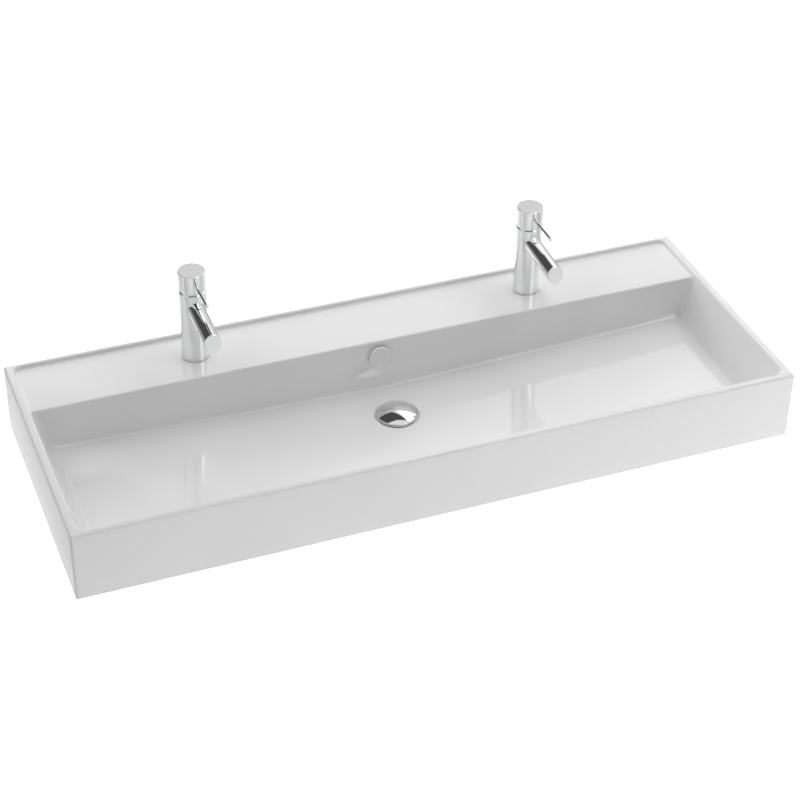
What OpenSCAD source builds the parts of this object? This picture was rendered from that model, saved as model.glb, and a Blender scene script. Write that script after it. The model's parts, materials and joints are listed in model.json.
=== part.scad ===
// Wide rectangular washbasin with a tap deck, two single-lever mixers, a click waste and an overflow.
// Origin: centre of the wall fixing holes, on the wall plane. +X right, +Y into the wall, +Z up.

/* [Basin] */
// Overall width
basin_w = 1200; // [1000:10:1400]
// Overall depth from the wall to the front
basin_d = 460; // [430:5:520]
// Overall height
basin_h = 120; // [118:1:150]
// Thickness of the rim at the sides and the front
rim_t = 14; // [12:1:20]
// Thickness of the rim along the wall
back_rim_t = 9; // [7:1:14]
// Radius of the four upright outer edges
outer_r = 4; // [2:1:10]
// Thickness of the outer skirt
skirt_t = 12; // [9:1:14]

/* [Deck] */
// Depth of the tap deck, from the wall to its front edge
deck_d = 130; // [120:1:150]
// How far the deck lies below the rim
deck_drop = 6; // [3:1:12]
// Thickness of the deck
deck_t = 12; // [8:1:16]
// Distance between the two tap holes
tap_spacing = 590; // [400:10:700]
// Distance from the wall to the tap holes
tap_from_wall = 65; // [58:1:75]
// Diameter of a tap hole
tap_hole_d = 35; // [34.5:0.5:37]

/* [Bowl] */
// Depth of the bowl at its side walls, below the rim
bowl_depth = 78; // [60:1:82]
// How much lower the floor is in the middle than at the side walls
floor_fall = 16; // [4:1:18]
// Thickness of the bowl's floor
floor_t = 9; // [7:1:10]
// Thickness of the bowl's walls
wall_t = 10; // [8:1:14]
// Slope of the side walls from upright, in degrees
side_draft = 17.7; // [8:0.1:24]
// Slope of the back wall from upright, in degrees
back_draft = 7; // [3:0.5:12]
// Slope of the front wall from upright, in degrees
front_draft = 8; // [3:0.5:12]
// Radius of the bowl's four upright corners
bowl_corner_r = 12; // [6:1:30]

/* [Wall fixing] */
// Height of the fixing holes below the rim
fixing_drop = 60; // [45:1:75]
// Distance between the two fixing holes
fixing_spacing = 820; // [700:10:900]
// Diameter of a fixing hole
fixing_hole_d = 14; // [12:0.5:18]

/* [Overflow] */
// Height of the overflow hole's centre below the rim
overflow_drop = 33; // [30:1:40]
// Diameter of the overflow sleeve
sleeve_d = 24; // [20:0.5:26]
// Wall thickness of the overflow sleeve
sleeve_wall = 2; // [1.5:0.5:3]
// Width of the sleeve's flange beyond the sleeve
sleeve_lip = 2.5; // [2:0.5:4]
// Thickness of the sleeve's flange
sleeve_lip_t = 1.2; // [1:0.1:2]
// Diameter of the overflow cover
cover_d = 38; // [30:1:40]
// Thickness of the overflow cover
cover_t = 4; // [3:0.5:6]
// Distance of the overflow cover from the wall of the bowl
cover_gap = 5.5; // [4:0.5:8]
// Diameter of the overflow cover's stem
cover_stem_d = 5; // [4:0.5:6]
// Width of the overflow channel
channel_w = 38; // [34:1:46]
// Depth of the overflow channel behind the bowl
channel_d = 12; // [9:1:14]
// Height of the overflow channel below the floor
channel_h = 8; // [6:1:9]
// Wall thickness of the overflow channel
channel_wall = 6; // [5:0.5:7]

/* [Waste] */
// Distance from the wall to the waste
waste_from_wall = 220; // [205:5:240]
// Outer diameter of the waste's body, which carries the lock nut
waste_body_d = 44; // [43:0.1:44.4]
// Outer diameter of the waste's threaded tail, which carries the trap
waste_thread_d = 41.9; // [41.9:0.1:42.5]
// Inner diameter of the waste's tail
waste_bore_d = 36; // [32:0.5:38]
// Diameter of the hole in the basin for the waste
waste_hole_d = 46; // [45:0.5:48]
// Length of the waste from its flange down
waste_len = 90; // [80:1:110]
// Diameter of the waste's flange
flange_d = 63; // [60:0.5:63.5]
// Thickness of the waste's flange
flange_t = 2; // [1.5:0.1:3]
// Depth of the flange's seat in the floor
seat_depth = 5; // [3:0.5:6]
// Diameter of the flange's seat
seat_d = 72; // [70:1:80]
// Thickness of the seal under the flange
top_seal_t = 1.5; // [1:0.1:2]
// Diameter of the flange's mouth
mouth_d = 50; // [44:0.5:52]
// Width of an overflow window in the tail
window_w = 16; // [10:1:20]
// Diameter of the boss under the floor at the waste
boss_d = 92; // [80:1:110]
// Height of the tapered seal under the basin
tapered_seal_h = 9; // [6:1:12]
// Thickness of the washer under the tapered seal
slip_washer_t = 2; // [1.5:0.5:3]
// Height of the waste's lock nut
lock_nut_h = 10; // [8:1:14]
// Width across the flats of the waste's lock nut
lock_nut_af = 54; // [52:1:60]
// Length of the waste's body left free under the lock nut
body_below_nut = 1.5; // [1:0.5:3]

/* [Waste plug] */
// Diameter of the waste plug's cap
plug_d = 64; // [64:0.5:68]
// Thickness of the cap at its edge
plug_edge_t = 2; // [1.5:0.5:3]
// Rise of the cap's dome
plug_rise = 6.3; // [4:0.1:9]
// Gap between the closed cap and the flange
plug_gap = 1.2; // [0.8:0.1:2]
// Travel of the cap from closed to open
plug_travel = 7; // [5:0.5:9]
// Width of the seal under the cap
plug_seal_w = 4; // [3:0.5:5]
// Diameter of the plug's stem
plug_stem_d = 5; // [4:0.5:6]
// Outer diameter of the click housing
click_d = 14; // [13:0.5:16]
// Wall thickness of the click housing
click_wall = 2; // [1.5:0.5:2]
// Length of the click housing above the cross arms
click_h = 27; // [26:1:30]
// Depth of the cross arms below the flange
arm_depth = 40; // [38:1:44]
// Height of the cross arms
arm_h = 6; // [4:0.5:8]
// Thickness of a cross arm
arm_t = 3; // [2:0.5:4]
// Number of cross arms
arm_count = 3; // [3:1:4]
// Wire diameter of the click spring
spring_wire_d = 1; // [0.8:0.1:1.2]
// Number of turns of the click spring
spring_turns = 6; // [5:1:8]

/* [Mixer] */
// Diameter of the mixer's body and cap
mixer_d = 45; // [44:0.5:48]
// Height of the body above the deck
seam_h = 129; // [125:1:150]
// Height of the neck at the body's upper end
neck_h = 2.4; // [1.5:0.1:4]
// How far the neck stands back from the body's side
neck_inset = 1.6; // [0.8:0.1:2]
// Height of the cap
cap_h = 33.4; // [32:0.1:40]
// Gap between the body and the cap
cap_gap = 1.2; // [1:0.1:1.6]
// Wall thickness of the body around the cartridge
body_wall = 3.5; // [3:0.1:4]
// Rounding of the cap's top edge
cap_edge_r = 1; // [0.5:0.1:2]
// Wall thickness of the cap's skirt
cap_wall = 2.5; // [2:0.1:3]
// Thickness of the cap's top
cap_top_t = 6; // [4:0.5:7]
// Diameter of the hub inside the cap
hub_d = 17; // [16:0.5:18]
// Height of the cap's hub above the seam
hub_lift = 7; // [7:0.5:9]
// Swing of the lever from closed to fully open, in degrees
lever_lift = 22; // [15:1:24]

/* [Lever] */
// Diameter of the lever
lever_d = 5.5; // [5:0.1:7]
// Length of the lever outside the cap
lever_len = 67; // [50:1:80]
// Distance of the lever below the cap's top
lever_below_top = 14.6; // [12:0.1:15]
// Diameter of the ball at the lever's tip
lever_tip_d = 7.2; // [6.5:0.1:9]
// Diameter of the lever's and the grub screw's thread
lever_thread_d = 4.8; // [4:0.1:4.9]
// Depth of the lever's seat in the cap
lever_seat = 0.8; // [0.5:0.1:1.2]
// Length of the grub screw
grub_len = 6; // [4:0.5:7]
// Distance of the grub screw below the cap's top
grub_below_top = 17.1; // [16:0.1:18]
// Thickness of the plug over the grub screw
screw_plug_t = 1.8; // [1.2:0.1:2]

/* [Spout] */
// Diameter of the spout
spout_d = 28; // [26:0.5:29]
// Wall thickness of the spout
spout_wall = 2.7; // [2:0.1:3]
// Distance of the spout's end from the body's axis
spout_end_y = 113; // [105:1:120]
// Thickness of the spout's end disc
spout_end_t = 7; // [6:0.5:9]
// Tilt of the spout's end face back from upright, in degrees
spout_end_tilt = 17; // [0:1:18]
// Slope of the spout, in degrees
spout_slope = 4; // [2:0.5:7]
// Distance of the spout's axis below the seam, at the body's axis
spout_below_seam = 27; // [25:0.5:30]
// Distance of the outlet from the spout's end
outlet_back = 18; // [17:1:30]
// Outer diameter of the aerator's housing
aerator_d = 16.5; // [15:0.1:17]
// Wall thickness of the aerator's housing
aerator_wall = 1.3; // [1:0.1:1.5]
// Height of the aerator's housing
aerator_h = 9; // [8:0.5:10]
// How far the aerator stands out below the spout
aerator_out = 1.6; // [1:0.1:3]
// Diameter of a hole in the aerator's insert
aerator_hole_d = 1.4; // [1:0.1:1.6]

/* [Cartridge] */
// Outer diameter of the cartridge
cartridge_d = 35; // [34.5:0.5:35.5]
// Height of the cartridge
cartridge_h = 43; // [42:0.5:46]
// Wall thickness of the cartridge's housing
cartridge_wall = 2; // [1.5:0.1:2.2]
// Thickness of the housing's base and lip
cartridge_base_t = 3; // [2:0.5:3]
// Diameter of the opening in the housing's lip
lip_hole_d = 25; // [24:0.5:26]
// Thickness of each ceramic disc
disc_t = 4; // [3:0.5:4.5]
// Diameter of the moving ceramic disc
moving_disc_d = 21; // [20:0.5:21]
// Distance of the handle's tilt axis below the cartridge's top
pivot_depth = 7; // [6.5:0.5:8]
// Diameter of the handle's pivot pin
pivot_pin_d = 4; // [3:0.5:4]
// Length of the pivot pin
pivot_pin_len = 26; // [22:1:28]
// Width of the spindle's square stem
stem_w = 8; // [7:0.5:8]
// How far the spindle stands up inside the cap's hub
stem_in_hub = 15.8; // [12:0.1:17]
// Length of the spindle's lower arm, to the centre of its ball
arm_len = 12; // [11:0.5:13]
// Diameter of the spindle's lower arm
arm_d = 5; // [4.5:0.5:5.5]
// Diameter of the ball on the spindle's lower arm
ball_d = 6.8; // [6.4:0.1:7]
// Depth of the ball's centre in its socket
ball_sunk = 1.5; // [1.2:0.1:1.6]
// Diameter of the inlet ports in the ceramic discs
port_d = 4.4; // [3.5:0.1:4.6]
// Distance of an inlet port from the middle, sideways
port_x = 5.5; // [5:0.1:5.6]
// Distance of the inlet ports from the middle, to the front
port_y = 3; // [2.5:0.1:3.2]
// Distance of the outlet port from the middle, to the back
outlet_port_y = 4.5; // [4:0.1:5]

/* [Cartridge nut] */
// Height of the retaining nut
nut_h = 8; // [6:0.5:8.5]
// Distance of the retaining nut's top below the seam
nut_sink = 2; // [1.5:0.5:3]
// Inner diameter of the retaining nut
nut_bore_d = 23; // [22.5:0.1:24]
// Radius of the trim ring's round top, about the tilt axis
trim_r = 22.5; // [21:0.1:22.8]
// Diameter of the trim ring's opening
trim_hole_d = 25.6; // [25:0.1:27]
// Thickness of the trim ring's brim
trim_brim_t = 1; // [0.8:0.1:1.5]

/* [Deck fixing] */
// Thickness of the gasket under the mixer
gasket_t = 0.8; // [0.5:0.1:1.2]
// How far the gasket's edge lies inside the body's
gasket_inset = 1.2; // [0.6:0.1:2]
// Diameter of the spigot that centres the mixer in the tap hole
spigot_d = 33.6; // [33:0.1:34]
// Height of the centring spigot
spigot_h = 3; // [2:0.5:5]
// Diameter of the fixing stud
stud_d = 8; // [6:0.5:8]
// Distance of the stud from the mixer's axis, to the back
stud_y = 10.5; // [9.5:0.1:11]
// Depth of the stud in the body's core
stud_in = 12; // [8:1:16]
// Length of the stud below the deck's top
stud_len = 60; // [50:1:80]
// Wall thickness of the centring spigot
spigot_wall = 1.6; // [1.2:0.1:1.8]
// Height of the hollow in the body's foot
foot_h = 48; // [40:1:54]
// Diameter of the clamping horseshoe
horseshoe_d = 50; // [46:1:54]
// Thickness of the rubber horseshoe
rubber_t = 3; // [2:0.5:4]
// Thickness of the steel horseshoe
plate_t = 2.5; // [2:0.5:3]
// Height of the nut on the stud
stud_nut_h = 12; // [8:1:20]
// Width across the flats of the nut on the stud
stud_nut_af = 13; // [12:0.5:14]
// Diameter of a supply inlet's thread
inlet_d = 9.2; // [8.4:0.1:9.4]
// Depth of a supply inlet's thread
inlet_depth = 14; // [12:1:18]
// Distance of a supply inlet from the mixer's axis, sideways
inlet_x = 7.6; // [7:0.1:7.9]
// Distance of the supply inlets from the mixer's axis, to the front
inlet_y = 6.5; // [6:0.1:6.8]

/* [Fits] */
// Gap between pieces that move past each other
move_gap = 0.3; // [0.2:0.05:0.4]
// Gap of a shaft that turns in a hole, on each side
shaft_gap = 0.05; // [0.02:0.01:0.08]
// Gap between a thread or a plug and its hole, on each side
thread_gap = 0.1; // [0.05:0.01:0.15]

/* [Hidden] */
BASIN_NODES = [
    "basin_body", "overflow_sleeve", "overflow_cover",
    "waste_body", "waste_top_seal", "waste_tapered_seal", "waste_slip_washer", "waste_lock_nut",
    "click_housing", "click_spring", "plug_stem", "plug_cap", "plug_seal",
];
MIXER_NODES = [
    "mixer_body", "spout", "aerator_housing", "aerator_insert", "base_gasket",
    "fixing_stud", "rubber_horseshoe", "steel_horseshoe", "stud_nut",
    "cartridge_housing", "fixed_disc", "moving_disc", "disc_carrier", "rotor", "pivot_pin",
    "spindle", "retaining_nut", "trim_ring", "lever_cap", "lever", "grub_screw", "screw_plug",
];

$fn = 96;
// Overrun past the surface that a cut opens or a piece comes out of
over = 1;

// Levels of the basin
top_z = fixing_drop;
base_z = top_z - basin_h;
deck_z = top_z - deck_drop;
floor_end_z = top_z - bowl_depth;
floor_mid_z = floor_end_z - floor_fall;
channel_top_z = floor_mid_z - floor_t;
channel_base_z = channel_top_z - channel_h;
boss_base_z = channel_base_z - channel_wall;

// Plan of the basin
half_w = basin_w / 2;
inner_half_w = half_w - skirt_t;
waste_y = -waste_from_wall;
channel_front_y = -(deck_d - wall_t);
channel_back_y = channel_front_y + channel_d;

// How far the space before the bowl's back wall runs on into the side walls
corner_spread = 0.05;

// The bowl's sloping walls at height z
function side_x(z) = half_w - rim_t - (top_z - z) * tan(side_draft);
function front_y(z) = -(basin_d - rim_t) + (top_z - z) * tan(front_draft);
function back_y(z) = -deck_d - (deck_z - z) * tan(back_draft);
// Height of the floor at x: it falls from the side walls to the middle
function floor_z(x) = floor_mid_z + floor_fall * abs(x) / side_x(floor_end_z);

// Overflow, along the normal of the bowl's back wall
overflow_z = top_z - overflow_drop;
sleeve_len = (channel_front_y - back_y(overflow_z)) / cos(back_draft) + over;
overflow_hole_d = sleeve_d + 2 * thread_gap;
sleeve_arm_z = -6;
sleeve_arm_h = 3;

// Levels of the waste
flange_top_z = floor_mid_z - seat_depth + top_seal_t + flange_t;
tail_end_z = flange_top_z - waste_len;
arm_top_z = flange_top_z - arm_depth;
tapered_seal_z = boss_base_z - tapered_seal_h;
slip_washer_z = tapered_seal_z - slip_washer_t;
lock_nut_z = slip_washer_z - lock_nut_h;
body_end_z = lock_nut_z - body_below_nut;
plug_edge_z = flange_top_z + plug_gap;
plug_top_z = plug_edge_z + plug_edge_t + plug_rise;
click_top_z = arm_top_z + click_h;
click_bore_d = click_d - 2 * click_wall;
click_floor_z = arm_top_z + click_wall;
plug_head_h = 3;
plug_head_z = click_top_z - click_wall - plug_travel - move_gap - plug_head_h;
plug_boss_d = 2 * plug_stem_d;
plug_recess = 1.5;
mouth_depth = (mouth_d - waste_bore_d) / 2;

// Levels of a mixer, above the deck
nut_top = seam_h - nut_sink;
cartridge_top = nut_top - nut_h;
chamber_floor = cartridge_top - cartridge_h;
pivot_h = cartridge_top - pivot_depth;
cap_base = seam_h + cap_gap;
cap_top = cap_base + cap_h;
cap_ceiling = cap_top - cap_top_t;
hub_base = seam_h + hub_lift;
stem_top = hub_base + stem_in_hub;
lever_h = cap_top - lever_below_top;
grub_h = cap_top - grub_below_top;
disc_base = chamber_floor + cartridge_base_t;
disc_seam = disc_base + disc_t;
carrier_base = disc_seam + shaft_gap + disc_t;
ball_h = pivot_h - arm_len;
carrier_top = ball_h + ball_sunk;
rotor_base = carrier_top + move_gap;
rotor_top = cartridge_top - cartridge_base_t - move_gap;

// Radii of a mixer
mixer_r = mixer_d / 2;
chamber_r = mixer_r - body_wall;
housing_r = cartridge_d / 2;
housing_bore_r = housing_r - cartridge_wall;
rotor_r = housing_bore_r - move_gap;
carrier_r = moving_disc_d / 2 - 0.6;
carrier_flat_x = carrier_r - 1.2;
barrel_r = pivot_pin_d / 2 + 2.5;
barrel_w = 10;
outlet_port_d = port_d + 0.8;
foot_r = spigot_d / 2 - spigot_wall;
spout_r = spout_d / 2;
spout_bore_r = spout_r - spout_wall;
spout_axis_h = seam_h - spout_below_seam;
spout_len = spout_end_y / cos(spout_slope);
outlet_y = spout_end_y - outlet_back;
outlet_h = spout_axis_h - outlet_y * tan(spout_slope);
aerator_base = outlet_h - spout_r / cos(spout_slope) - aerator_out;
horseshoe_mouth_r = inlet_x + inlet_d / 2 + 0.2;

// Points of an arc about c, from angle a0 to a1, for outlines
function arc(c, r, a0, a1, steps = 6) =
    [for (i = [0:steps]) let (a = a0 + (a1 - a0) * i / steps) c + r * [cos(a), sin(a)]];

// Circumscribed diameter of a hexagon with a given width across its flats
function hex_d(af) = af / cos(30);

// Upright rod, h long from height z
module rod(d, h, z = 0) {
    translate([0, 0, z]) cylinder(d = d, h = h);
}

// Upright round cut, h deep from height z, run past both its ends
module bore(d, h, z = 0) {
    translate([0, 0, z - over]) cylinder(d = d, h = h + 2 * over);
}

// Tube standing on z = 0
module ring(outer_d, inner_d, h) {
    difference() {
        rod(outer_d, h);
        bore(inner_d, h);
    }
}

// Box centred on the z axis, h tall from height z
module block(w, d, h, z = 0) {
    translate([-w / 2, -d / 2, z]) cube([w, d, h]);
}

// Flat outline of a rectangle with round corners
module rounded_plan(x_half, back, front, r) {
    translate([-x_half, front + r]) square([2 * x_half, back - front - 2 * r]);
    translate([-x_half + r, front]) square([2 * x_half - 2 * r, back - front]);
    for (x = [-1, 1] * (x_half - r), y = [front + r, back - r]) translate([x, y]) circle(r = r);
}

// Space with round corners between the sloping side walls, from height low to height high; back and
// front are the y of its ends at the low and at the high end, and spread is added at each side
module walled_space(low, high, back, front, spread) {
    hull() for (i = [0, 1]) {
        z = [low, high][i];
        translate([0, 0, z]) linear_extrude(0.01)
            rounded_plan(side_x(z) + spread, back[i], front[i], bowl_corner_r, $fn = 32);
    }
}

// Upright slab with the floor's two slopes as its underside
module above_floor() {
    rotate([90, 0, 0]) linear_extrude(basin_d)
        polygon([
            [-half_w, floor_z(half_w)], [0, floor_mid_z], [half_w, floor_z(half_w)],
            [half_w, top_z + 2 * over], [-half_w, top_z + 2 * over],
        ]);
}

// Space over the deck and the bowl's floor, between all four walls
module bowl_space() {
    low = floor_mid_z - over;
    high = top_z + over;
    intersection() {
        walled_space(low, high, [-back_rim_t, -back_rim_t], [front_y(low), front_y(high)], 0);
        above_floor();
        union() {
            translate([-half_w, -basin_d, deck_z]) cube([basin_w, basin_d, basin_h]);
            walled_space(
                low, deck_z + over, [back_y(low), back_y(deck_z + over)], [-basin_d, -basin_d], corner_spread
            );
        }
    }
}

// Open space under the floor, the deck and between the bowl's sides and the skirt
module underside() {
    inner_d = basin_d - 2 * skirt_t;
    end_z = floor_z(inner_half_w) - floor_t;
    mid_z = floor_mid_z - floor_t;
    low_z = base_z - over;
    side_top_z = top_z - (wall_t + skirt_t - rim_t) / tan(side_draft);
    translate([0, -skirt_t, 0]) rotate([90, 0, 0]) linear_extrude(inner_d) {
        polygon([
            [-inner_half_w, low_z], [-inner_half_w, end_z], [0, mid_z],
            [inner_half_w, end_z], [inner_half_w, low_z],
        ]);
        for (side = [-1, 1])
            polygon([
                [side * inner_half_w, side_top_z], [side * inner_half_w, end_z - over],
                [side * (side_x(end_z - over) + wall_t), end_z - over],
            ]);
    }
    deck_under_z = deck_z - deck_t;
    translate([-inner_half_w, 0, 0]) rotate([90, 0, 90]) linear_extrude(2 * inner_half_w)
        polygon([
            [-skirt_t, low_z], [-skirt_t, deck_under_z], [back_y(deck_under_z) + wall_t, deck_under_z],
            [back_y(mid_z) + wall_t, mid_z], [back_y(mid_z) + wall_t, low_z],
        ]);
}

// Overflow channel, down behind the bowl and forward to the waste
module overflow_way() {
    upper_z = overflow_z + overflow_hole_d / 2;
    translate([-channel_w / 2, channel_front_y, channel_base_z])
        cube([channel_w, channel_d, upper_z - channel_base_z]);
    translate([-channel_w / 2, waste_y, channel_base_z])
        cube([channel_w, channel_back_y - waste_y, channel_h]);
}

// Solid round the overflow channel, as far forward as the bowl's back wall
module overflow_block() {
    half = channel_w / 2 + channel_wall;
    back = channel_back_y + channel_wall;
    front = back_y(floor_mid_z);
    upper_z = overflow_z + overflow_hole_d / 2 + channel_wall;
    translate([-half, front, boss_base_z]) cube([2 * half, back - front, upper_z - boss_base_z]);
    translate([-half, waste_y, boss_base_z])
        cube([2 * half, back - waste_y, channel_top_z + floor_t / 2 - boss_base_z]);
}

// Places children on the waste's axis
module at_waste() {
    translate([0, waste_y, 0]) children();
}

// Places children with +Z along the normal of the bowl's back wall, at the overflow hole
module at_overflow() {
    translate([0, back_y(overflow_z), overflow_z]) rotate([90 - back_draft, 0, 0]) children();
}

// Places children on the deck at a tap hole; side is -1 for left and 1 for right
module at_tap(side) {
    translate([side * tap_spacing / 2, -tap_from_wall, deck_z]) children();
}

// Places children with +Z along the handle's tilt axis
module at_pivot() {
    translate([0, 0, pivot_h]) rotate([0, 90, 0]) children();
}

// Places children with +Z along the spout and +Y up across it
module at_spout() {
    translate([0, 0, spout_axis_h]) rotate([90 + spout_slope, 0, 0]) children();
}

module basin_body() {
    color("white") difference() {
        union() {
            difference() {
                translate([0, 0, base_z]) linear_extrude(basin_h)
                    rounded_plan(half_w, 0, -basin_d, outer_r);
                underside();
            }
            overflow_block();
            at_waste() rod(boss_d, floor_mid_z - floor_t / 2 - boss_base_z, boss_base_z);
        }
        bowl_space();
        overflow_way();
        at_overflow() bore(overflow_hole_d, wall_t + channel_d, -wall_t - channel_d);
        at_waste() {
            rod(waste_hole_d, basin_h, base_z);
            rod(seat_d, basin_h, floor_mid_z - seat_depth);
        }
        for (side = [-1, 1]) {
            at_tap(side) bore(tap_hole_d, deck_t, -deck_t);
            translate([side * fixing_spacing / 2, 0, 0]) rotate([90, 0, 0]) bore(fixing_hole_d, skirt_t);
        }
    }
}

// Lining of the overflow hole, with a hub on cross arms for the cover
module overflow_sleeve() {
    bore_d = sleeve_d - 2 * sleeve_wall;
    hub_wall = 2.5;
    arm_w = 2;
    color("whitesmoke") at_overflow() {
        difference() {
            union() {
                rod(sleeve_d, sleeve_len, -sleeve_len);
                rod(sleeve_d + 2 * sleeve_lip, sleeve_lip_t);
            }
            bore(bore_d, sleeve_len + sleeve_lip_t, -sleeve_len);
        }
        translate([0, 0, sleeve_arm_z]) difference() {
            union() {
                rod(cover_stem_d + 2 * hub_wall, sleeve_arm_h);
                for (turn = [0:120:240]) rotate(turn)
                    translate([0, -arm_w / 2, 0]) cube([bore_d / 2 + sleeve_wall / 2, arm_w, sleeve_arm_h]);
            }
            bore(cover_stem_d + 2 * thread_gap, sleeve_arm_h);
        }
    }
}

// Round cover that stands off the wall, so that water passes behind it
module overflow_cover() {
    edge_r = 0.4 * cover_t;
    cover_r = cover_d / 2;
    neck_wall = 2;
    color("white") at_overflow() {
        translate([0, 0, cover_gap]) rotate_extrude()
            polygon(concat(
                [[0, 0]],
                arc([cover_r - edge_r, edge_r], edge_r, -90, 0),
                arc([cover_r - edge_r, cover_t - edge_r], edge_r, 0, 90),
                [[0, cover_t]]
            ));
        neck_z = sleeve_arm_z + sleeve_arm_h;
        rod(cover_stem_d + 2 * neck_wall, cover_gap + edge_r - neck_z, neck_z);
        rod(cover_stem_d, cover_gap - sleeve_arm_z, sleeve_arm_z);
    }
}

// Chromed waste with flange, overflow windows, cross arms, body and threaded tail
module waste_body() {
    bore_r = waste_bore_d / 2;
    flange_edge = 0.4;
    mouth_lip = 1;
    window_sill = 0.5;
    hub_wall = 2.3;
    arm_base_z = arm_top_z - arm_h;
    color("silver") at_waste() {
        difference() {
            rotate_extrude()
                polygon([
                    [bore_r, tail_end_z], [waste_thread_d / 2, tail_end_z],
                    [waste_thread_d / 2, body_end_z], [waste_body_d / 2, body_end_z],
                    [waste_body_d / 2, flange_top_z - flange_t], [flange_d / 2, flange_top_z - flange_t],
                    [flange_d / 2, flange_top_z - flange_edge], [flange_d / 2 - flange_edge, flange_top_z],
                    [mouth_d / 2, flange_top_z], [mouth_d / 2 - mouth_depth / 2, flange_top_z - mouth_lip],
                    [bore_r, flange_top_z - mouth_depth],
                ]);
            for (turn = [45:90:315]) rotate(turn)
                translate([0, -window_w / 2, channel_base_z + window_sill])
                    cube([waste_body_d, window_w, channel_h - 2 * window_sill]);
        }
        difference() {
            union() {
                rod(click_bore_d + 2 * hub_wall, arm_h, arm_base_z);
                for (i = [0:arm_count - 1]) rotate(360 * i / arm_count)
                    translate([0, -arm_t / 2, arm_base_z]) cube([bore_r + 1, arm_t, arm_h]);
            }
            bore(click_bore_d + 2 * thread_gap, arm_h, arm_base_z);
        }
    }
}

// Flat seal between the flange and its seat
module waste_top_seal() {
    color("dimgray") at_waste() translate([0, 0, floor_mid_z - seat_depth])
        ring(flange_d - 1, waste_hole_d + 1, top_seal_t);
}

// Rubber cone that seals the tail under the basin
module waste_tapered_seal() {
    low_wall = 6;
    top_wall = 10;
    color("dimgray") at_waste() translate([0, 0, tapered_seal_z]) difference() {
        cylinder(d1 = waste_body_d + 2 * low_wall, d2 = waste_body_d + 2 * top_wall, h = tapered_seal_h);
        bore(waste_body_d + 2 * thread_gap, tapered_seal_h);
    }
}

module waste_slip_washer() {
    washer_w = 8.5;
    color("gainsboro") at_waste() translate([0, 0, slip_washer_z])
        ring(waste_body_d + 2 * washer_w, waste_body_d + 2 * thread_gap, slip_washer_t);
}

module waste_lock_nut() {
    color("goldenrod") at_waste() translate([0, 0, lock_nut_z]) difference() {
        cylinder(d = hex_d(lock_nut_af), h = lock_nut_h, $fn = 6);
        bore(waste_body_d + 2 * thread_gap, lock_nut_h);
    }
}

// Housing of the click latch, screwed into the hub of the cross arms
module click_housing() {
    color("darkgray") at_waste() difference() {
        union() {
            rod(click_d, click_h, arm_top_z);
            rod(click_bore_d, arm_h, arm_top_z - arm_h);
        }
        rod(click_bore_d, click_h - 2 * click_wall, click_floor_z);
        rod(plug_stem_d + 2 * shaft_gap, click_h, click_floor_z + over);
    }
}

// Spring that lifts the plug: one unbroken wire
module click_spring() {
    wire_r = spring_wire_d / 2;
    coil_r = click_bore_d / 2 - move_gap - wire_r;
    sides = 6;
    turn_steps = 16;
    steps = turn_steps * spring_turns;
    low = click_floor_z + wire_r;
    high = plug_head_z - wire_r;
    points = [
        for (i = [0:steps], j = [0:sides - 1])
            let (turn = 360 * i / turn_steps, side = 360 * j / sides, r = coil_r + wire_r * cos(side))
            [r * cos(turn), r * sin(turn), low + (high - low) * i / steps + wire_r * sin(side)]
    ];
    walls = [
        for (i = [0:steps - 1], j = [0:sides - 1])
            let (a = i * sides + j, b = i * sides + (j + 1) % sides)
            each [[a, b, a + sides], [b, b + sides, a + sides]]
    ];
    ends = concat(
        [for (j = [1:sides - 2]) [0, j + 1, j]],
        [for (j = [1:sides - 2]) let (first = steps * sides) [first, first + j, first + j + 1]]
    );
    color("lightgray") at_waste() polyhedron(points, concat(walls, ends));
}

// Stem of the plug, with the head that the latch holds
module plug_stem() {
    color("silver") at_waste() {
        rod(click_bore_d - 2 * move_gap, plug_head_h, plug_head_z);
        rod(plug_stem_d, plug_edge_z + plug_edge_t - plug_head_z, plug_head_z);
    }
}

// Domed cap over the waste
module plug_cap() {
    dome_r = (pow(plug_d / 2, 2) + pow(plug_rise, 2)) / (2 * plug_rise);
    rim_w = 2.5;
    boss_h = 6;
    color("silver") at_waste() difference() {
        union() {
            intersection() {
                rod(plug_d, plug_edge_t + plug_rise + over, plug_edge_z);
                translate([0, 0, plug_top_z - dome_r]) sphere(r = dome_r, $fn = 192);
            }
            rod(plug_boss_d, boss_h + over, plug_edge_z - boss_h);
        }
        translate([0, 0, plug_edge_z - over]) ring(plug_d - 2 * rim_w, plug_boss_d, plug_recess + over);
        rod(plug_stem_d + 2 * thread_gap, boss_h + over + plug_edge_t, plug_edge_z - boss_h - over);
    }
}

// Rubber ring under the cap, just clear of the flange when closed
module plug_seal() {
    seal_d = mouth_d - 2;
    seal_z = flange_top_z + move_gap;
    color("dimgray") at_waste() translate([0, 0, seal_z])
        ring(seal_d + 2 * plug_seal_w, seal_d, plug_edge_z + plug_recess - seal_z);
}

// Room for the cartridge and its nut, the waterways and the hollow foot, inside the mixer's body
module body_hollow() {
    groove_depth = 3;
    port_base = foot_h + inlet_depth - groove_depth;
    rod(2 * chamber_r, seam_h, chamber_floor);
    at_spout() rod(2 * spout_bore_r, mixer_d);
    translate([-outlet_port_d / 2, outlet_port_y - outlet_port_d / 2, chamber_floor - groove_depth])
        cube([outlet_port_d, chamber_r - outlet_port_y, groove_depth + over]);
    for (side = [-1, 1]) {
        translate([side * inlet_x, -inlet_y]) rod(inlet_d, inlet_depth + over, foot_h - over);
        translate([side * port_x, -port_y]) rod(port_d, chamber_floor + over - port_base, port_base);
    }
    rod(2 * foot_r, foot_h + spigot_h + over, -spigot_h - over);
    translate([0, stud_y]) rod(stud_d + 2 * thread_gap, stud_in + over, foot_h - over);
}

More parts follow.
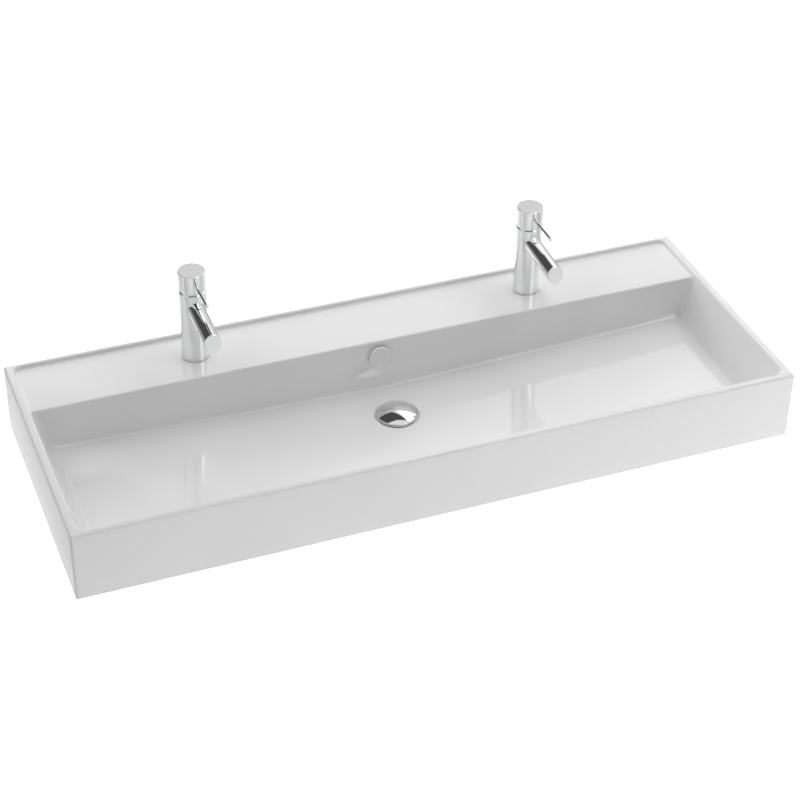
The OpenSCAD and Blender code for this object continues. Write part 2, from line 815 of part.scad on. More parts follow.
module mixer_body() {
    color("silver") difference() {
        union() {
            rod(mixer_d, seam_h - gasket_t - neck_h, gasket_t);
            rod(mixer_d - 2 * neck_inset, seam_h - gasket_t, gasket_t);
            rod(spigot_d, spigot_h + gasket_t + over, -spigot_h);
        }
        body_hollow();
    }
}

// Straight tubular spout, cut to the body at its root and to a tilted face at its closed end
module spout() {
    color("silver") difference() {
        at_spout() rod(spout_d, spout_len + spout_r);
        translate([0, -spout_end_y, spout_axis_h - spout_end_y * tan(spout_slope)])
            rotate([-spout_end_tilt, 0, 0]) translate([0, -spout_r, 0])
                block(2 * spout_d, 2 * spout_r, 2 * spout_d, -spout_d);
        rod(mixer_d, seam_h + spout_d);
        at_spout() rod(2 * spout_bore_r, spout_len - spout_end_t);
        translate([0, -outlet_y]) rod(aerator_d + 2 * thread_gap, spout_d, outlet_h - spout_d);
    }
}

module aerator_housing() {
    color("silver") translate([0, -outlet_y, aerator_base])
        ring(aerator_d, aerator_d - 2 * aerator_wall, aerator_h);
}

// Perforated insert of the aerator: one hole in the middle and two rings of holes round it
module aerator_insert() {
    insert_r = aerator_d / 2 - aerator_wall - thread_gap;
    insert_h = aerator_h - 2;
    insert_sunk = 0.6;
    row_step = 0.37 * insert_r;
    color("dimgray") translate([0, -outlet_y, aerator_base + insert_sunk]) difference() {
        cylinder(r = insert_r, h = insert_h);
        for (row = [0:2], i = [0:max(1, 6 * row) - 1])
            rotate(360 * i / max(1, 6 * row)) translate([row_step * row, 0, -over])
                cylinder(d = aerator_hole_d, h = insert_h + 2 * over);
    }
}

module base_gasket() {
    color("dimgray") ring(mixer_d - 2 * gasket_inset, spigot_d + 2 * thread_gap, gasket_t);
}

module fixing_stud() {
    color("lightgray") translate([0, stud_y]) rod(stud_d, stud_len + foot_h + stud_in, -stud_len);
}

// Clamping plate, open to the front round the supply inlets
module horseshoe(h) {
    difference() {
        rod(horseshoe_d, h);
        translate([0, -inlet_y]) bore(2 * horseshoe_mouth_r, h);
        translate([0, -inlet_y - horseshoe_d / 2])
            block(2 * horseshoe_mouth_r, horseshoe_d, h + 2 * over, -over);
        translate([0, stud_y]) bore(stud_d + 2 * thread_gap, h);
    }
}

module rubber_horseshoe() {
    color("dimgray") translate([0, 0, -deck_t - rubber_t]) horseshoe(rubber_t);
}

module steel_horseshoe() {
    color("lightgray") translate([0, 0, -deck_t - rubber_t - plate_t]) horseshoe(plate_t);
}

module stud_nut() {
    color("goldenrod") translate([0, stud_y, -deck_t - rubber_t - plate_t - stud_nut_h]) difference() {
        cylinder(d = hex_d(stud_nut_af), h = stud_nut_h, $fn = 6);
        bore(stud_d + 2 * thread_gap, stud_nut_h);
    }
}

// Ports through a plate that starts at height z: two inlets in front and the outlet behind
module ports(z, h) {
    for (side = [-1, 1]) translate([side * port_x, -port_y]) bore(port_d, h, z);
    translate([0, outlet_port_y]) bore(outlet_port_d, h, z);
}

module cartridge_housing() {
    color("white") difference() {
        rod(cartridge_d, cartridge_h, chamber_floor);
        rod(2 * housing_bore_r, cartridge_h - 2 * cartridge_base_t, disc_base);
        rod(lip_hole_d, cartridge_h, disc_base);
        ports(chamber_floor, cartridge_base_t);
    }
}

module fixed_disc() {
    color("ivory") difference() {
        rod(2 * (housing_bore_r - thread_gap), disc_t, disc_base);
        ports(disc_base, disc_t);
    }
}

// Ceramic disc that slides over the ports, with the hollow that joins them when open
module moving_disc() {
    base = disc_seam + shaft_gap;
    color("ivory") difference() {
        rod(moving_disc_d, disc_t, base);
        translate([0, outlet_port_y / 2]) rod(moving_disc_d / 2, over + disc_t / 2, base - over);
    }
}

// Block on the moving disc, with flat sides and the socket for the spindle's ball
module disc_carrier() {
    socket = ball_d + 2 * move_gap;
    socket_z = ball_h - ball_d / 2 - 1;
    color("lightgray") difference() {
        intersection() {
            rod(2 * carrier_r, carrier_top - carrier_base, carrier_base);
            block(2 * carrier_flat_x, 2 * carrier_r, carrier_top - carrier_base, carrier_base);
        }
        block(socket, socket, carrier_top + over - socket_z, socket_z);
    }
}

// Turning guide in the cartridge: holds the pivot pin, and its legs turn the disc carrier
module rotor() {
    slot_w = barrel_w + 2 * move_gap;
    slot_d = 2 * barrel_r + 7;
    leg_x = carrier_flat_x + move_gap;
    leg_w = 3.2;
    leg_d = 12;
    leg_base = carrier_base + 1;
    color("gray") difference() {
        union() {
            rod(2 * rotor_r, rotor_top - rotor_base, rotor_base);
            for (side = [-1, 1]) translate([side * (leg_x + leg_w / 2), 0])
                block(leg_w, leg_d, rotor_base + 1 - leg_base, leg_base);
        }
        block(slot_w, slot_d, rotor_top - rotor_base + 2 * over, rotor_base - over);
        at_pivot() bore(pivot_pin_d + shaft_gap, 2 * rotor_r, -rotor_r);
    }
}

module pivot_pin() {
    color("lightgray") at_pivot() rod(pivot_pin_d, pivot_pin_len, -pivot_pin_len / 2);
}

// Square stem that carries the cap, tilting on the pivot pin, with a ball at its lower end
module spindle() {
    color("lightgray") difference() {
        union() {
            block(stem_w, stem_w, stem_top - pivot_h, pivot_h);
            at_pivot() rod(2 * barrel_r, barrel_w, -barrel_w / 2);
            rod(arm_d, arm_len, ball_h);
            translate([0, 0, ball_h]) sphere(d = ball_d);
        }
        at_pivot() bore(pivot_pin_d + 2 * shaft_gap, barrel_w, -barrel_w / 2);
    }
}

// Threaded ring that holds the cartridge down
module retaining_nut() {
    color("goldenrod") translate([0, 0, cartridge_top])
        ring(2 * (chamber_r - thread_gap), nut_bore_d, nut_h);
}

// Bright ring under the cap, rounded about the tilt axis
module trim_ring() {
    brim_r = chamber_r - 4 * thread_gap;
    color("silver") difference() {
        union() {
            rod(2 * brim_r, trim_brim_t, nut_top);
            intersection() {
                rod(2 * brim_r, trim_r, nut_top);
                translate([0, 0, pivot_h]) sphere(r = trim_r);
            }
        }
        bore(trim_hole_d, trim_r, nut_top);
    }
}

// Cap with a hub on the spindle; its back is cut away so that it can tilt over the body
module lever_cap() {
    socket = stem_w + 2 * thread_gap;
    tilt_room = 0.8;
    hole_d = lever_thread_d + 2 * thread_gap;
    color("silver") difference() {
        union() {
            difference() {
                rotate_extrude()
                    polygon(concat(
                        [[0, cap_base], [mixer_r, cap_base]],
                        arc([mixer_r - cap_edge_r, cap_top - cap_edge_r], cap_edge_r, 0, 90),
                        [[0, cap_top]]
                    ));
                rod(mixer_d - 2 * cap_wall, cap_ceiling - cap_base + over, cap_base - over);
            }
            rod(hub_d, cap_ceiling - hub_base + over, hub_base);
        }
        block(socket, socket, stem_in_hub + over + thread_gap, hub_base - over);
        translate([0, 0, lever_h]) rotate([90, 0, 0]) {
            rod(hole_d, mixer_d);
            rod(lever_d + 2 * thread_gap, mixer_r, mixer_r - lever_seat);
        }
        translate([0, 0, grub_h]) rotate([-90, 0, 0]) rod(hole_d, mixer_d);
        translate([0, 0, pivot_h]) rotate([lever_lift, 0, 0])
            block(2 * mixer_d, 2 * mixer_d, 2 * mixer_d, seam_h - pivot_h + tilt_room - 2 * mixer_d);
    }
}

// Straight pin lever with a ball at its tip, screwed into the cap's hub
module lever() {
    tip_at = mixer_r + lever_len - lever_tip_d / 2;
    color("silver") translate([0, 0, lever_h]) rotate([90, 0, 0]) {
        rod(lever_thread_d, mixer_r - stem_w / 2, stem_w / 2 + move_gap);
        rod(lever_d, tip_at - mixer_r + lever_seat, mixer_r - lever_seat);
        translate([0, 0, tip_at]) sphere(d = lever_tip_d);
    }
}

// Screw that clamps the hub to the spindle, reached from the back
module grub_screw() {
    key_af = 2.5;
    key_depth = 2;
    color("gray") translate([0, stem_w / 2 + thread_gap, grub_h]) rotate([-90, 0, 0]) difference() {
        rod(lever_thread_d, grub_len);
        rod(hex_d(key_af), key_depth + over, grub_len - key_depth, $fn = 6);
    }
}

// Small plug that closes the way to the grub screw
module screw_plug() {
    plug_sunk = 0.2;
    color("silver") translate([0, mixer_r - plug_sunk, grub_h]) rotate([90, 0, 0])
        rod(lever_thread_d, screw_plug_t);
}

basin_body();
overflow_sleeve();
overflow_cover();
waste_body();
waste_top_seal();
waste_tapered_seal();
waste_slip_washer();
waste_lock_nut();
click_housing();
click_spring();
plug_stem();
plug_cap();
plug_seal();
for (side = [-1, 1]) at_tap(side) let (prefix = side < 0 ? "left_" : "right_") {
    mixer_body();
    spout();
    aerator_housing();
    aerator_insert();
    base_gasket();
    fixing_stud();
    rubber_horseshoe();
    steel_horseshoe();
    stud_nut();
    cartridge_housing();
    fixed_disc();
    moving_disc();
    disc_carrier();
    rotor();
    pivot_pin();
    spindle();
    retaining_nut();
    trim_ring();
    lever_cap();
    lever();
    grub_screw();
    screw_plug();
}
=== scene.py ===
"""Models and finishes a wide washbasin with a tap deck, two single-lever mixers, a click waste and
an overflow, round the CAD frame that carries its moving bodies. All lengths are metres."""

import json
import math

import bmesh
import bpy
import numpy as np
from bpy.props import FloatProperty, FloatVectorProperty, PointerProperty
from mathutils import Matrix, Vector

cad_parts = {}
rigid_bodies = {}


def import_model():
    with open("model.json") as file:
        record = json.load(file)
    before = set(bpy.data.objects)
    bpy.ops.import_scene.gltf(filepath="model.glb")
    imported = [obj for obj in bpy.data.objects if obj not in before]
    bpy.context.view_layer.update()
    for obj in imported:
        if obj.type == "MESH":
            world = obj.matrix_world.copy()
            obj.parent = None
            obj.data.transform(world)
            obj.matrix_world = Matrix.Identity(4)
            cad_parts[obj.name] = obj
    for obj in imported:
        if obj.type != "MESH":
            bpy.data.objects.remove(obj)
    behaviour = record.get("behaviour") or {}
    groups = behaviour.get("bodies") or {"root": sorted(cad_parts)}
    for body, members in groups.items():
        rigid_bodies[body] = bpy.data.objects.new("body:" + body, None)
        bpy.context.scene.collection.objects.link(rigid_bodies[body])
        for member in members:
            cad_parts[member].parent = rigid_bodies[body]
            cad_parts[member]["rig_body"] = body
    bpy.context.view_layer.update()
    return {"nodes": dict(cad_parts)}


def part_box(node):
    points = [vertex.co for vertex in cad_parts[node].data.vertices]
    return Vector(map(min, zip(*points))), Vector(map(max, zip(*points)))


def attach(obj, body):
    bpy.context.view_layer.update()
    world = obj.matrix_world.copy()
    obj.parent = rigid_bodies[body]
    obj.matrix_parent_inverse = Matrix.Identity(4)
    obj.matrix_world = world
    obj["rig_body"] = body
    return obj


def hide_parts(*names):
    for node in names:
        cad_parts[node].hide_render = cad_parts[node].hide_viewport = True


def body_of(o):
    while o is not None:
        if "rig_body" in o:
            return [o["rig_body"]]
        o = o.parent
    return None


bl_info = {
    "name": "Wide Washbasin",
    "version": (1, 0, 0),
    "blender": (4, 5, 0),
    "location": "View3D > Sidebar > Washbasin",
    "description": "Models and finishes a washbasin, its waste, its overflow and its two mixers",
    "category": "Object",
}

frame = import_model()
SIDES = ("left", "right")
# Overrun of a cutter past the surface that it opens
OVER = 0.001
# Play on the radius between two parts that fit together
PLAY = 0.0001
# Depth to which a lever's pin is let into its cap
LEVER_SEAT = 0.0008
# Edges that bend by more degrees than this are shaded as sharp
SHARP = 35.0
# Distances over which one hollow rounding becomes another, below the deck and beside the side walls
DECK_BLEND, SIDE_BLEND = 0.02, 0.06
# Angles of the points on a quarter turn
QUARTER = [math.pi / 2 * k / 6 for k in range(7)]
# Moves that lay an outline in X and Y into Y and Z, and into X and Z
INTO_YZ = Matrix(((0, 0, 1, 0), (1, 0, 0, 0), (0, 1, 0, 0), (0, 0, 0, 1)))
INTO_XZ = Matrix(((1, 0, 0, 0), (0, 0, 1, 0), (0, 1, 0, 0), (0, 0, 0, 1)))
# Distance of the lamps from the basin, and the middle of the cards round it
LAMP_DISTANCE = 2.6
CARD_CENTRE = Vector((0, -0.2, 0))


def setting(kind, description, default, **options):
    """A value that a user may change, named by its description."""
    return kind(name=description, description=description, default=default, **options)


def size(description, default):
    """A length."""
    return setting(FloatProperty, description, default, unit="LENGTH")


def angle(description, degrees):
    """An angle."""
    return setting(FloatProperty, description, math.radians(degrees), subtype="ANGLE")


def share(description, default, top=1.0):
    """A plain number from nought to top."""
    return setting(FloatProperty, description, default, min=0.0, max=top)


def colour(description, value):
    """A linear colour."""
    return setting(
        FloatVectorProperty, description, value, size=3, subtype="COLOR", min=0.0, max=1.0
    )


class BasinSettings(bpy.types.PropertyGroup):
    """Sizes and glaze of the ceramic basin."""

    rim_width: size("Width of the rim at the sides and the front", 0.014)
    back_rim_width: size("Width of the rim along the wall", 0.009)
    deck_depth: size("Depth of the tap deck", 0.130)
    bowl_depth: size("Depth of the bowl at its side walls", 0.078)
    floor_fall: size("Fall of the floor to the middle", 0.016)
    side_slope: angle("Slope of the side walls", 17.7)
    back_slope: angle("Slope of the back wall", 7.0)
    front_slope: angle("Slope of the front wall", 8.0)
    outer_rounding: size("Rounding of the outer edges", 0.004)
    base_rounding: size("Rounding of the lower edges", 0.002)
    rim_rounding: size("Rounding of the rim's inner edges", 0.003)
    deck_edge_rounding: size("Rounding of the deck's front edge", 0.0025)
    deck_rounding: size("Hollow rounding round the deck", 0.0025)
    corner_rounding: size("Hollow rounding of the upright corners", 0.012)
    floor_rounding: size("Hollow rounding between the floor and the front and back walls", 0.005)
    floor_side_rounding: size("Hollow rounding between the floor and the side walls", 0.015)
    crease_softness: size("Half width of the soft crease in the floor", 0.030)
    seat: size("Diameter of the waste's seat", 0.072)
    seat_depth: size("Depth of the waste's seat", 0.005)
    seat_rounding: size("Rounding of the seat's edge", 0.004)
    skirt: size("Thickness of the outer skirt", 0.012)
    wall: size("Thickness of the bowl's walls", 0.010)
    floor: size("Thickness of the bowl's floor", 0.009)
    deck: size("Thickness of the deck", 0.012)
    hollow_rounding: size("Rounding inside the underside", 0.003)
    glaze_colour: colour("Colour of the glaze", (0.86, 0.86, 0.86))
    bisque_colour: colour("Colour of the bare ceramic", (0.70, 0.66, 0.60))


class FittingSettings(bpy.types.PropertyGroup):
    """Sizes and finish of the waste, the overflow and the mixers."""

    edge_rounding: size("Rounding of the turned edges", 0.0004)
    mixer: size("Diameter of a mixer", 0.045)
    seam_height: size("Height of the seam under a cap", 0.129)
    neck_height: size("Height of the neck under the seam", 0.0024)
    neck_inset: size("How far the neck stands back", 0.0016)
    body_wall: size("Wall of a mixer's body round its cartridge", 0.0035)
    chamber_floor: size("Height of the floor under a cartridge", 0.076)
    foot_height: size("Height of the hollow foot", 0.048)
    foot_bore: size("Bore of the hollow foot", 0.0304)
    spigot: size("Diameter of the spigot in the deck", 0.0336)
    spigot_length: size("Length of the spigot", 0.003)
    gasket: size("Thickness of the base gasket", 0.0008)
    inlet: size("Diameter of a supply inlet", 0.0092)
    inlet_offset: size("Distance of an inlet from the middle", 0.0076)
    stud: size("Diameter of the fixing stud", 0.008)
    stud_offset: size("Distance of the stud behind the middle", 0.0105)
    spout: size("Diameter of a spout", 0.028)
    spout_wall: size("Wall of a spout", 0.0027)
    spout_height: size("Height of a spout's axis at the mixer's axis", 0.102)
    spout_reach: size("Reach of a spout", 0.113)
    spout_end: size("Thickness of a spout's closed end", 0.007)
    spout_slope: angle("Slope of the spouts", 4.0)
    spout_tilt: angle("Tilt of a spout's end face back from upright", 17.0)
    outlet_reach: size("Reach of the outlet", 0.095)
    aerator: size("Diameter of the aerator", 0.0165)
    cap_gap: size("Gap under a cap", 0.0012)
    cap_height: size("Height of a cap", 0.0334)
    cap_wall: size("Wall of a cap's skirt", 0.0025)
    cap_top: size("Thickness of a cap's top", 0.006)
    cap_rounding: size("Rounding of a cap's top edge", 0.001)
    cap_crown: size("Rise of a cap's top to its middle", 0.0002)
    hub: size("Diameter of a cap's hub", 0.017)
    hub_lift: size("Height of the hub's end above the seam", 0.007)
    stem_width: size("Width of the square stem", 0.008)
    pivot_height: size("Height of the tilt axis", 0.112)
    lever_lift: angle("Swing of a lever", 22.0)
    lever: size("Diameter of a lever", 0.0055)
    lever_thread: size("Diameter of a lever's thread", 0.0048)
    lever_tip: size("Diameter of a lever's ball", 0.0072)
    lever_reach: size("Reach of a lever out of its cap", 0.067)
    lever_height: size("Height of a lever", 0.149)
    grub_height: size("Height of the screw in a cap's back", 0.1465)
    plug_edge: size("Height of the plug's upright edge", 0.002)
    plug_rise: size("Rise of the plug's dome", 0.0063)
    plug_shoulder: size("Rounding between the plug's edge and its dome", 0.0006)
    plug_stem: size("Diameter of the plug's stem", 0.005)
    waste_bore: size("Bore of the waste", 0.036)
    waste_body: size("Diameter of the waste's body", 0.044)
    waste_thread: size("Diameter of the waste's thread", 0.0419)
    waste_hole: size("Hole for the waste", 0.046)
    body_end: size("Height of the upper end of the waste's thread", -0.0795)
    flange: size("Diameter of the waste's flange", 0.063)
    flange_thickness: size("Thickness of the waste's flange", 0.002)
    mouth: size("Diameter of the waste's mouth", 0.050)
    window_low: size("Height of the overflow windows' sills", -0.0505)
    window_height: size("Opening of the overflow windows", 0.007)
    window_width: size("Width of the overflow windows", 0.016)
    arm_depth: size("Depth of the cross arms under the flange", 0.040)
    arm_height: size("Height of the cross arms", 0.006)
    arm_thickness: size("Thickness of the cross arms", 0.003)
    click_bore: size("Bore of the hub on the cross arms", 0.010)
    boss: size("Diameter of the boss round the waste", 0.092)
    channel_width: size("Width of the overflow channel", 0.038)
    channel_depth: size("Depth of the upright overflow channel", 0.012)
    channel_height: size("Height of the lower overflow channel", 0.008)
    channel_wall: size("Wall round the overflow channel", 0.006)
    overflow_drop: size("Depth of the overflow below the rim", 0.033)
    overflow_hole: size("Diameter of the overflow hole", 0.0242)
    cover: size("Diameter of the overflow cover", 0.038)
    cover_thickness: size("Thickness of the overflow cover", 0.004)
    cover_gap: size("Gap behind the overflow cover", 0.0055)
    cover_stem: size("Diameter of the cover's stem", 0.005)
    cover_crown: size("Rise of the cover to its middle", 0.0003)
    tap_hole: size("Hole for a mixer", 0.035)
    wall_hole: size("Hole for a wall bolt", 0.014)
    wall_hole_spacing: size("Distance between the wall bolts", 0.820)
    chrome_colour: colour("Colour of the chrome", (0.85, 0.855, 0.86))
    plastic_colour: colour("Colour of the white plastic", (0.84, 0.84, 0.84))


class StudioSettings(bpy.types.PropertyGroup):
    """Camera, floor, lamps and cards."""

    camera_place: setting(
        FloatVectorProperty, "Place of the camera", (-0.9918, -2.7643, 1.9914), size=3
    )
    camera_azimuth: angle("Azimuth of the camera", -21.4)
    camera_elevation: angle("Elevation of the camera", 36.17)
    camera_roll: angle("Roll of the camera", 0.91)
    lens: setting(FloatProperty, "Focal length of the camera in millimetres", 92.64)
    floor_drop: size("Depth of the floor below the basin", 0.73)
    floor_colour: colour("Colour of the floor", (0.90, 0.90, 0.90))
    floor_glow: share("White added to the floor where it is seen", 0.78)
    world_light: share("Strength of the even light", 0.22, 2.0)
    back_light: share("Power of the low lamp at the back", 43.0, 200.0)
    back_left_light: share("Power of the lamp at the back left", 18.5, 200.0)
    back_right_light: share("Power of the lamp at the back right", 16.0, 200.0)
    top_light: share("Power of the lamp overhead", 8.0, 200.0)
    right_light: share("Power of the wide lamp at the right", 6.0, 200.0)
    key_light: share("Power of the small lamp high at the right", 5.0, 200.0)
    left_light: share("Power of the low lamp at the front left", 3.5, 200.0)
    side_light: share("Power of the lamp high at the left", 4.0, 200.0)
    front_light: share("Power of the lamp under the front", 17.0, 200.0)
    front_right_light: share("Power of the lamp under the front right", 26.0, 200.0)
    soft_box: share("Brightness of the white card at the back right", 1.5, 5.0)
    dark_card: share("Brightness of the dark card at the back", 0.07)
    back_card: share("Brightness of the grey card at the back", 0.74)
    front_box: share("Brightness of the white card above the camera", 3.0, 10.0)
    black_card: share("Brightness of the black card behind the camera", 0.01)


def basin():
    """Settings of the basin."""
    return bpy.context.scene.washbasin_basin


def fitting():
    """Settings of the fittings."""
    return bpy.context.scene.washbasin_fitting


def studio():
    """Settings of the studio."""
    return bpy.context.scene.washbasin_studio


def middle(node):
    """Centre of a CAD node."""
    low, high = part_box(node)
    return (low + high) / 2


def at(x, y, z, turn=0.0):
    """A move to a point, after a turn about the X axis."""
    return Matrix.Translation((x, y, z)) @ Matrix.Rotation(turn, 4, "X")


BASIN_LOW, BASIN_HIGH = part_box("basin_body")
TOP, BASE = BASIN_HIGH.z, BASIN_LOW.z
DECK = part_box("left_base_gasket")[0].z
WASTE = middle("waste_body")
HALF_WIDTH, DEPTH = BASIN_HIGH.x, -BASIN_LOW.y
AT_WASTE = at(WASTE.x, WASTE.y, 0)


# Meshes


def new_piece(name, points, faces):
    """An object of points and faces."""
    mesh = bpy.data.meshes.new(name)
    mesh.from_pydata([tuple(p) for p in points], [], [tuple(f) for f in faces])
    piece = bpy.data.objects.new(name, mesh)
    bpy.context.scene.collection.objects.link(piece)
    tidy_normals(piece)
    return piece


def stand_for(piece, slot, *nodes):
    """Lets a piece ride with the CAD nodes it stands for, and hides those nodes. The slot is not
    used.
    """
    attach(piece, body_of(frame["nodes"][nodes[0]])[0])
    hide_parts(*nodes)


def tidy_normals(piece):
    """Turns every face outwards."""
    work = bmesh.new()
    work.from_mesh(piece.data)
    bmesh.ops.recalc_face_normals(work, faces=work.faces)
    work.to_mesh(piece.data)
    work.free()


def smooth(mesh, *materials, limit=SHARP):
    """Gives a mesh its materials, with smooth shading between its sharp edges."""
    mesh.materials.clear()
    for material in materials:
        mesh.materials.append(material)
    mesh.shade_smooth()
    mesh.set_sharp_from_angle(angle=math.radians(limit))


def finish(piece, material, slot, node, limit=SHARP):
    """Gives a piece its material and even shading, and lets it stand for a CAD node."""
    smooth(piece.data, material, limit=limit)
    even = piece.modifiers.new("even_normals", "WEIGHTED_NORMAL")
    even.keep_sharp = True
    even.weight = 80
    stand_for(piece, slot, node)


def carve(piece, tool, operation="DIFFERENCE"):
    """Cuts a piece by a tool, or joins them, and uses the tool up."""
    modifier = piece.modifiers.new("carve", "BOOLEAN")
    modifier.operation = operation
    modifier.solver = "MANIFOLD"
    modifier.object = tool
    bpy.context.view_layer.update()
    carved = piece.evaluated_get(bpy.context.evaluated_depsgraph_get())
    mesh = bpy.data.meshes.new_from_object(carved)
    if not mesh.polygons:
        raise RuntimeError(f"cutting {piece.name} left nothing")
    piece.modifiers.clear()
    old = piece.data
    piece.data = mesh
    bpy.data.meshes.remove(old)
    bpy.data.objects.remove(tool)
    return piece


def moved(points, matrix):
    """Points after a move."""
    return [matrix @ Vector(p) for p in points]


def rounded(outline, steps=5):
    """Outline points, with an arc at each corner that gives a radius as its third number."""
    points = []
    for i, corner in enumerate(outline):
        here = Vector(corner[:2])
        radius = corner[2] if len(corner) > 2 else 0.0
        if not radius:
            points.append(here)
            continue
        before = (Vector(outline[i - 1][:2]) - here).normalized()
        after = (Vector(outline[(i + 1) % len(outline)][:2]) - here).normalized()
        half = before.angle(after) / 2
        start = here + before * radius / math.tan(half)
        end = here + after * radius / math.tan(half)
        centre = here + (before + after).normalized() * radius / math.sin(half)
        for k in range(steps + 1):
            chord = start.lerp(end, k / steps) - centre
            points.append(centre + chord.normalized() * radius)
    return points


def circle(radius, height, steps):
    """Points of a level circle."""
    angles = [2 * math.pi * k / steps for k in range(steps)]
    return [Vector((radius * math.cos(a), radius * math.sin(a), height)) for a in angles]


def bands(rows, closed):
    """Faces between rows of point numbers that run round."""
    faces = []
    for row, after in zip(rows, rows[1:] + rows[:1] if closed else rows[1:]):
        for k in range(len(row)):
            n = (k + 1) % len(row)
            corners = list(dict.fromkeys([row[k], row[n], after[n], after[k]]))
            if len(corners) > 2:
                faces.append(corners)
    return faces


def add_rings(points, rows, outline, steps):
    """Adds a ring of points for each (radius, height) of an outline, or one point on the axis."""
    for radius, height in rounded(outline):
        if radius < 1e-7:
            rows.append([len(points)] * steps)
            points.append(Vector((0, 0, height)))
        else:
            rows.append(list(range(len(points), len(points) + steps)))
            points += circle(radius, height, steps)


def turned(outline, matrix=Matrix.Identity(4), steps=96):
    """Points and faces of a closed outline of (radius, height) turned about the Z axis."""
    points, rows = [], []
    add_rings(points, rows, outline, steps)
    return moved(points, matrix), bands(rows, True)


def extruded(outline, start, end, matrix=Matrix.Identity(4)):
    """Points and faces of an outline in X and Y, drawn out from height start to height end."""
    flat = rounded(outline)
    count = len(flat)
    points = [Vector((x, y, z)) for z in (start, end) for x, y in flat]
    rows = [list(range(count)), list(range(count, 2 * count))]
    return moved(points, matrix), bands(rows, False) + rows


def threaded(radius, pitch, depth, start, end, rest, matrix=Matrix.Identity(4), steps=48):
    """Points and faces of a turned part with a thread from height start to height end. The outline
    rest goes on from the thread's upper end to its lower end. The thread runs out over one pitch at
    both ends, and has six rows of points to a pitch."""
    count = max(2, math.ceil((end - start) / pitch * 6))
    points, rows = [], []
    for i in range(count + 1):
        height = start + (end - start) * i / count
        fade = max(0.0, min(1.0, (height - start) / pitch, (end - height) / pitch))
        row = []
        for k in range(steps):
            phase = (height / pitch - k / steps) % 1.0
            reach = radius - depth * fade * (1 - abs(2 * phase - 1))
            a = 2 * math.pi * k / steps
            row.append(len(points))
            points.append(Vector((reach * math.cos(a), reach * math.sin(a), height)))
        rows.append(row)
    add_rings(points, rows, rest, steps)
    return moved(points, matrix), bands(rows, True)


def rod(diameter, start, end, matrix=Matrix.Identity(4), steps=64):
    """A round tool along Z."""
    radius = diameter / 2
    outline = [(0, start), (radius, start), (radius, end), (0, end)]
    return new_piece("tool", *turned(outline, matrix, steps))


def prism(outline, start, end, matrix=Matrix.Identity(4)):
    """A tool with an outline in X and Y, from height start to height end."""
    return new_piece("tool", *extruded(outline, start, end, matrix))


def oblong(x_span, y_span, radius=0.0):
    """Outline of a rectangle between two values on each axis, with corners of a radius."""
    (x0, x1), (y0, y1) = x_span, y_span
    return [(x0, y0, radius), (x1, y0, radius), (x1, y1, radius), (x0, y1, radius)]


def slab(x_span, y_span, z_span, matrix=Matrix.Identity(4)):
    """A square tool between two values on each axis."""
    return prism(oblong(x_span, y_span), *z_span, matrix)


# The basin's surface


def round_hollow(a, b, radius):
    """Joins two walls by a hollow rounding; a and b are the free distances from each."""
    return np.maximum(radius, np.minimum(a, b)) - np.hypot(
        np.maximum(radius - a, 0), np.maximum(radius - b, 0)
    )


def round_crest(a, b, radius):
    """Joins two walls by a rounded crest; a and b are the free distances from each."""
    return np.minimum(-radius, np.maximum(a, b)) + np.hypot(
        np.maximum(radius + a, 0), np.maximum(radius + b, 0)
    )


def side_x(z):
    """Half width of the bowl at height z."""
    s = basin()
    return HALF_WIDTH - s.rim_width - (TOP - z) * math.tan(s.side_slope)


def front_y(z):
    """Front of the bowl at height z."""
    s = basin()
    return -(DEPTH - s.rim_width) + (TOP - z) * math.tan(s.front_slope)


def back_y(z):
    """Back of the bowl at height z."""
    s = basin()
    return -s.deck_depth - (DECK - z) * math.tan(s.back_slope)


def floor_z(x):
    """Height of the floor at x, with its soft crease in the middle."""
    s = basin()
    end = TOP - s.bowl_depth
    soft = s.crease_softness
    run = (np.hypot(x, soft) - soft) / (math.hypot(side_x(end), soft) - soft)
    return end - s.floor_fall * (1 - run)


def seat_z():
    """Height of the waste's seat."""
    s = basin()
    return TOP - s.bowl_depth - s.floor_fall - s.seat_depth


def free_distance(x, y, z):
    """How far a point lies clear of the ceramic; below nought it lies in it."""
    s = basin()
    sides = (side_x(z) - np.abs(x)) * math.cos(s.side_slope)
    front = (y - front_y(z)) * math.cos(s.front_slope)
    rear = -s.back_rim_width - y
    walls = round_hollow(sides, np.minimum(front, rear), s.corner_rounding)
    back = (back_y(z) - y) * math.cos(s.back_slope)
    shelf = round_crest(z - DECK, back, s.deck_edge_rounding)
    deep = np.clip((DECK - z) / DECK_BLEND, 0, 1)
    radius = s.deck_rounding + (s.corner_rounding - s.deck_rounding) * deep
    free = round_hollow(walls, shelf, radius)
    near_side = np.clip(1 - sides / SIDE_BLEND, 0, 1)
    radius = s.floor_rounding + (s.floor_side_rounding - s.floor_rounding) * near_side
    free = round_hollow(free, z - floor_z(x), radius)
    seat_side = s.seat / 2 - np.hypot(x - WASTE.x, y - WASTE.y)
    seat = round_hollow(seat_side, z - seat_z(), s.seat_depth / 5)
    free = round_crest(free, seat, s.seat_rounding)
    return round_crest(free, z - TOP, s.rim_rounding)


def surface_z(x, y):
    """Height of the basin's upper surface, found by halving."""
    low = np.full(x.shape, BASE)
    high = np.full(x.shape, TOP)
    for _ in range(44):
        mid = (low + high) / 2
        inside = free_distance(x, y, mid) < 0
        low = np.where(inside, mid, low)
        high = np.where(inside, high, mid)
    return (low + high) / 2


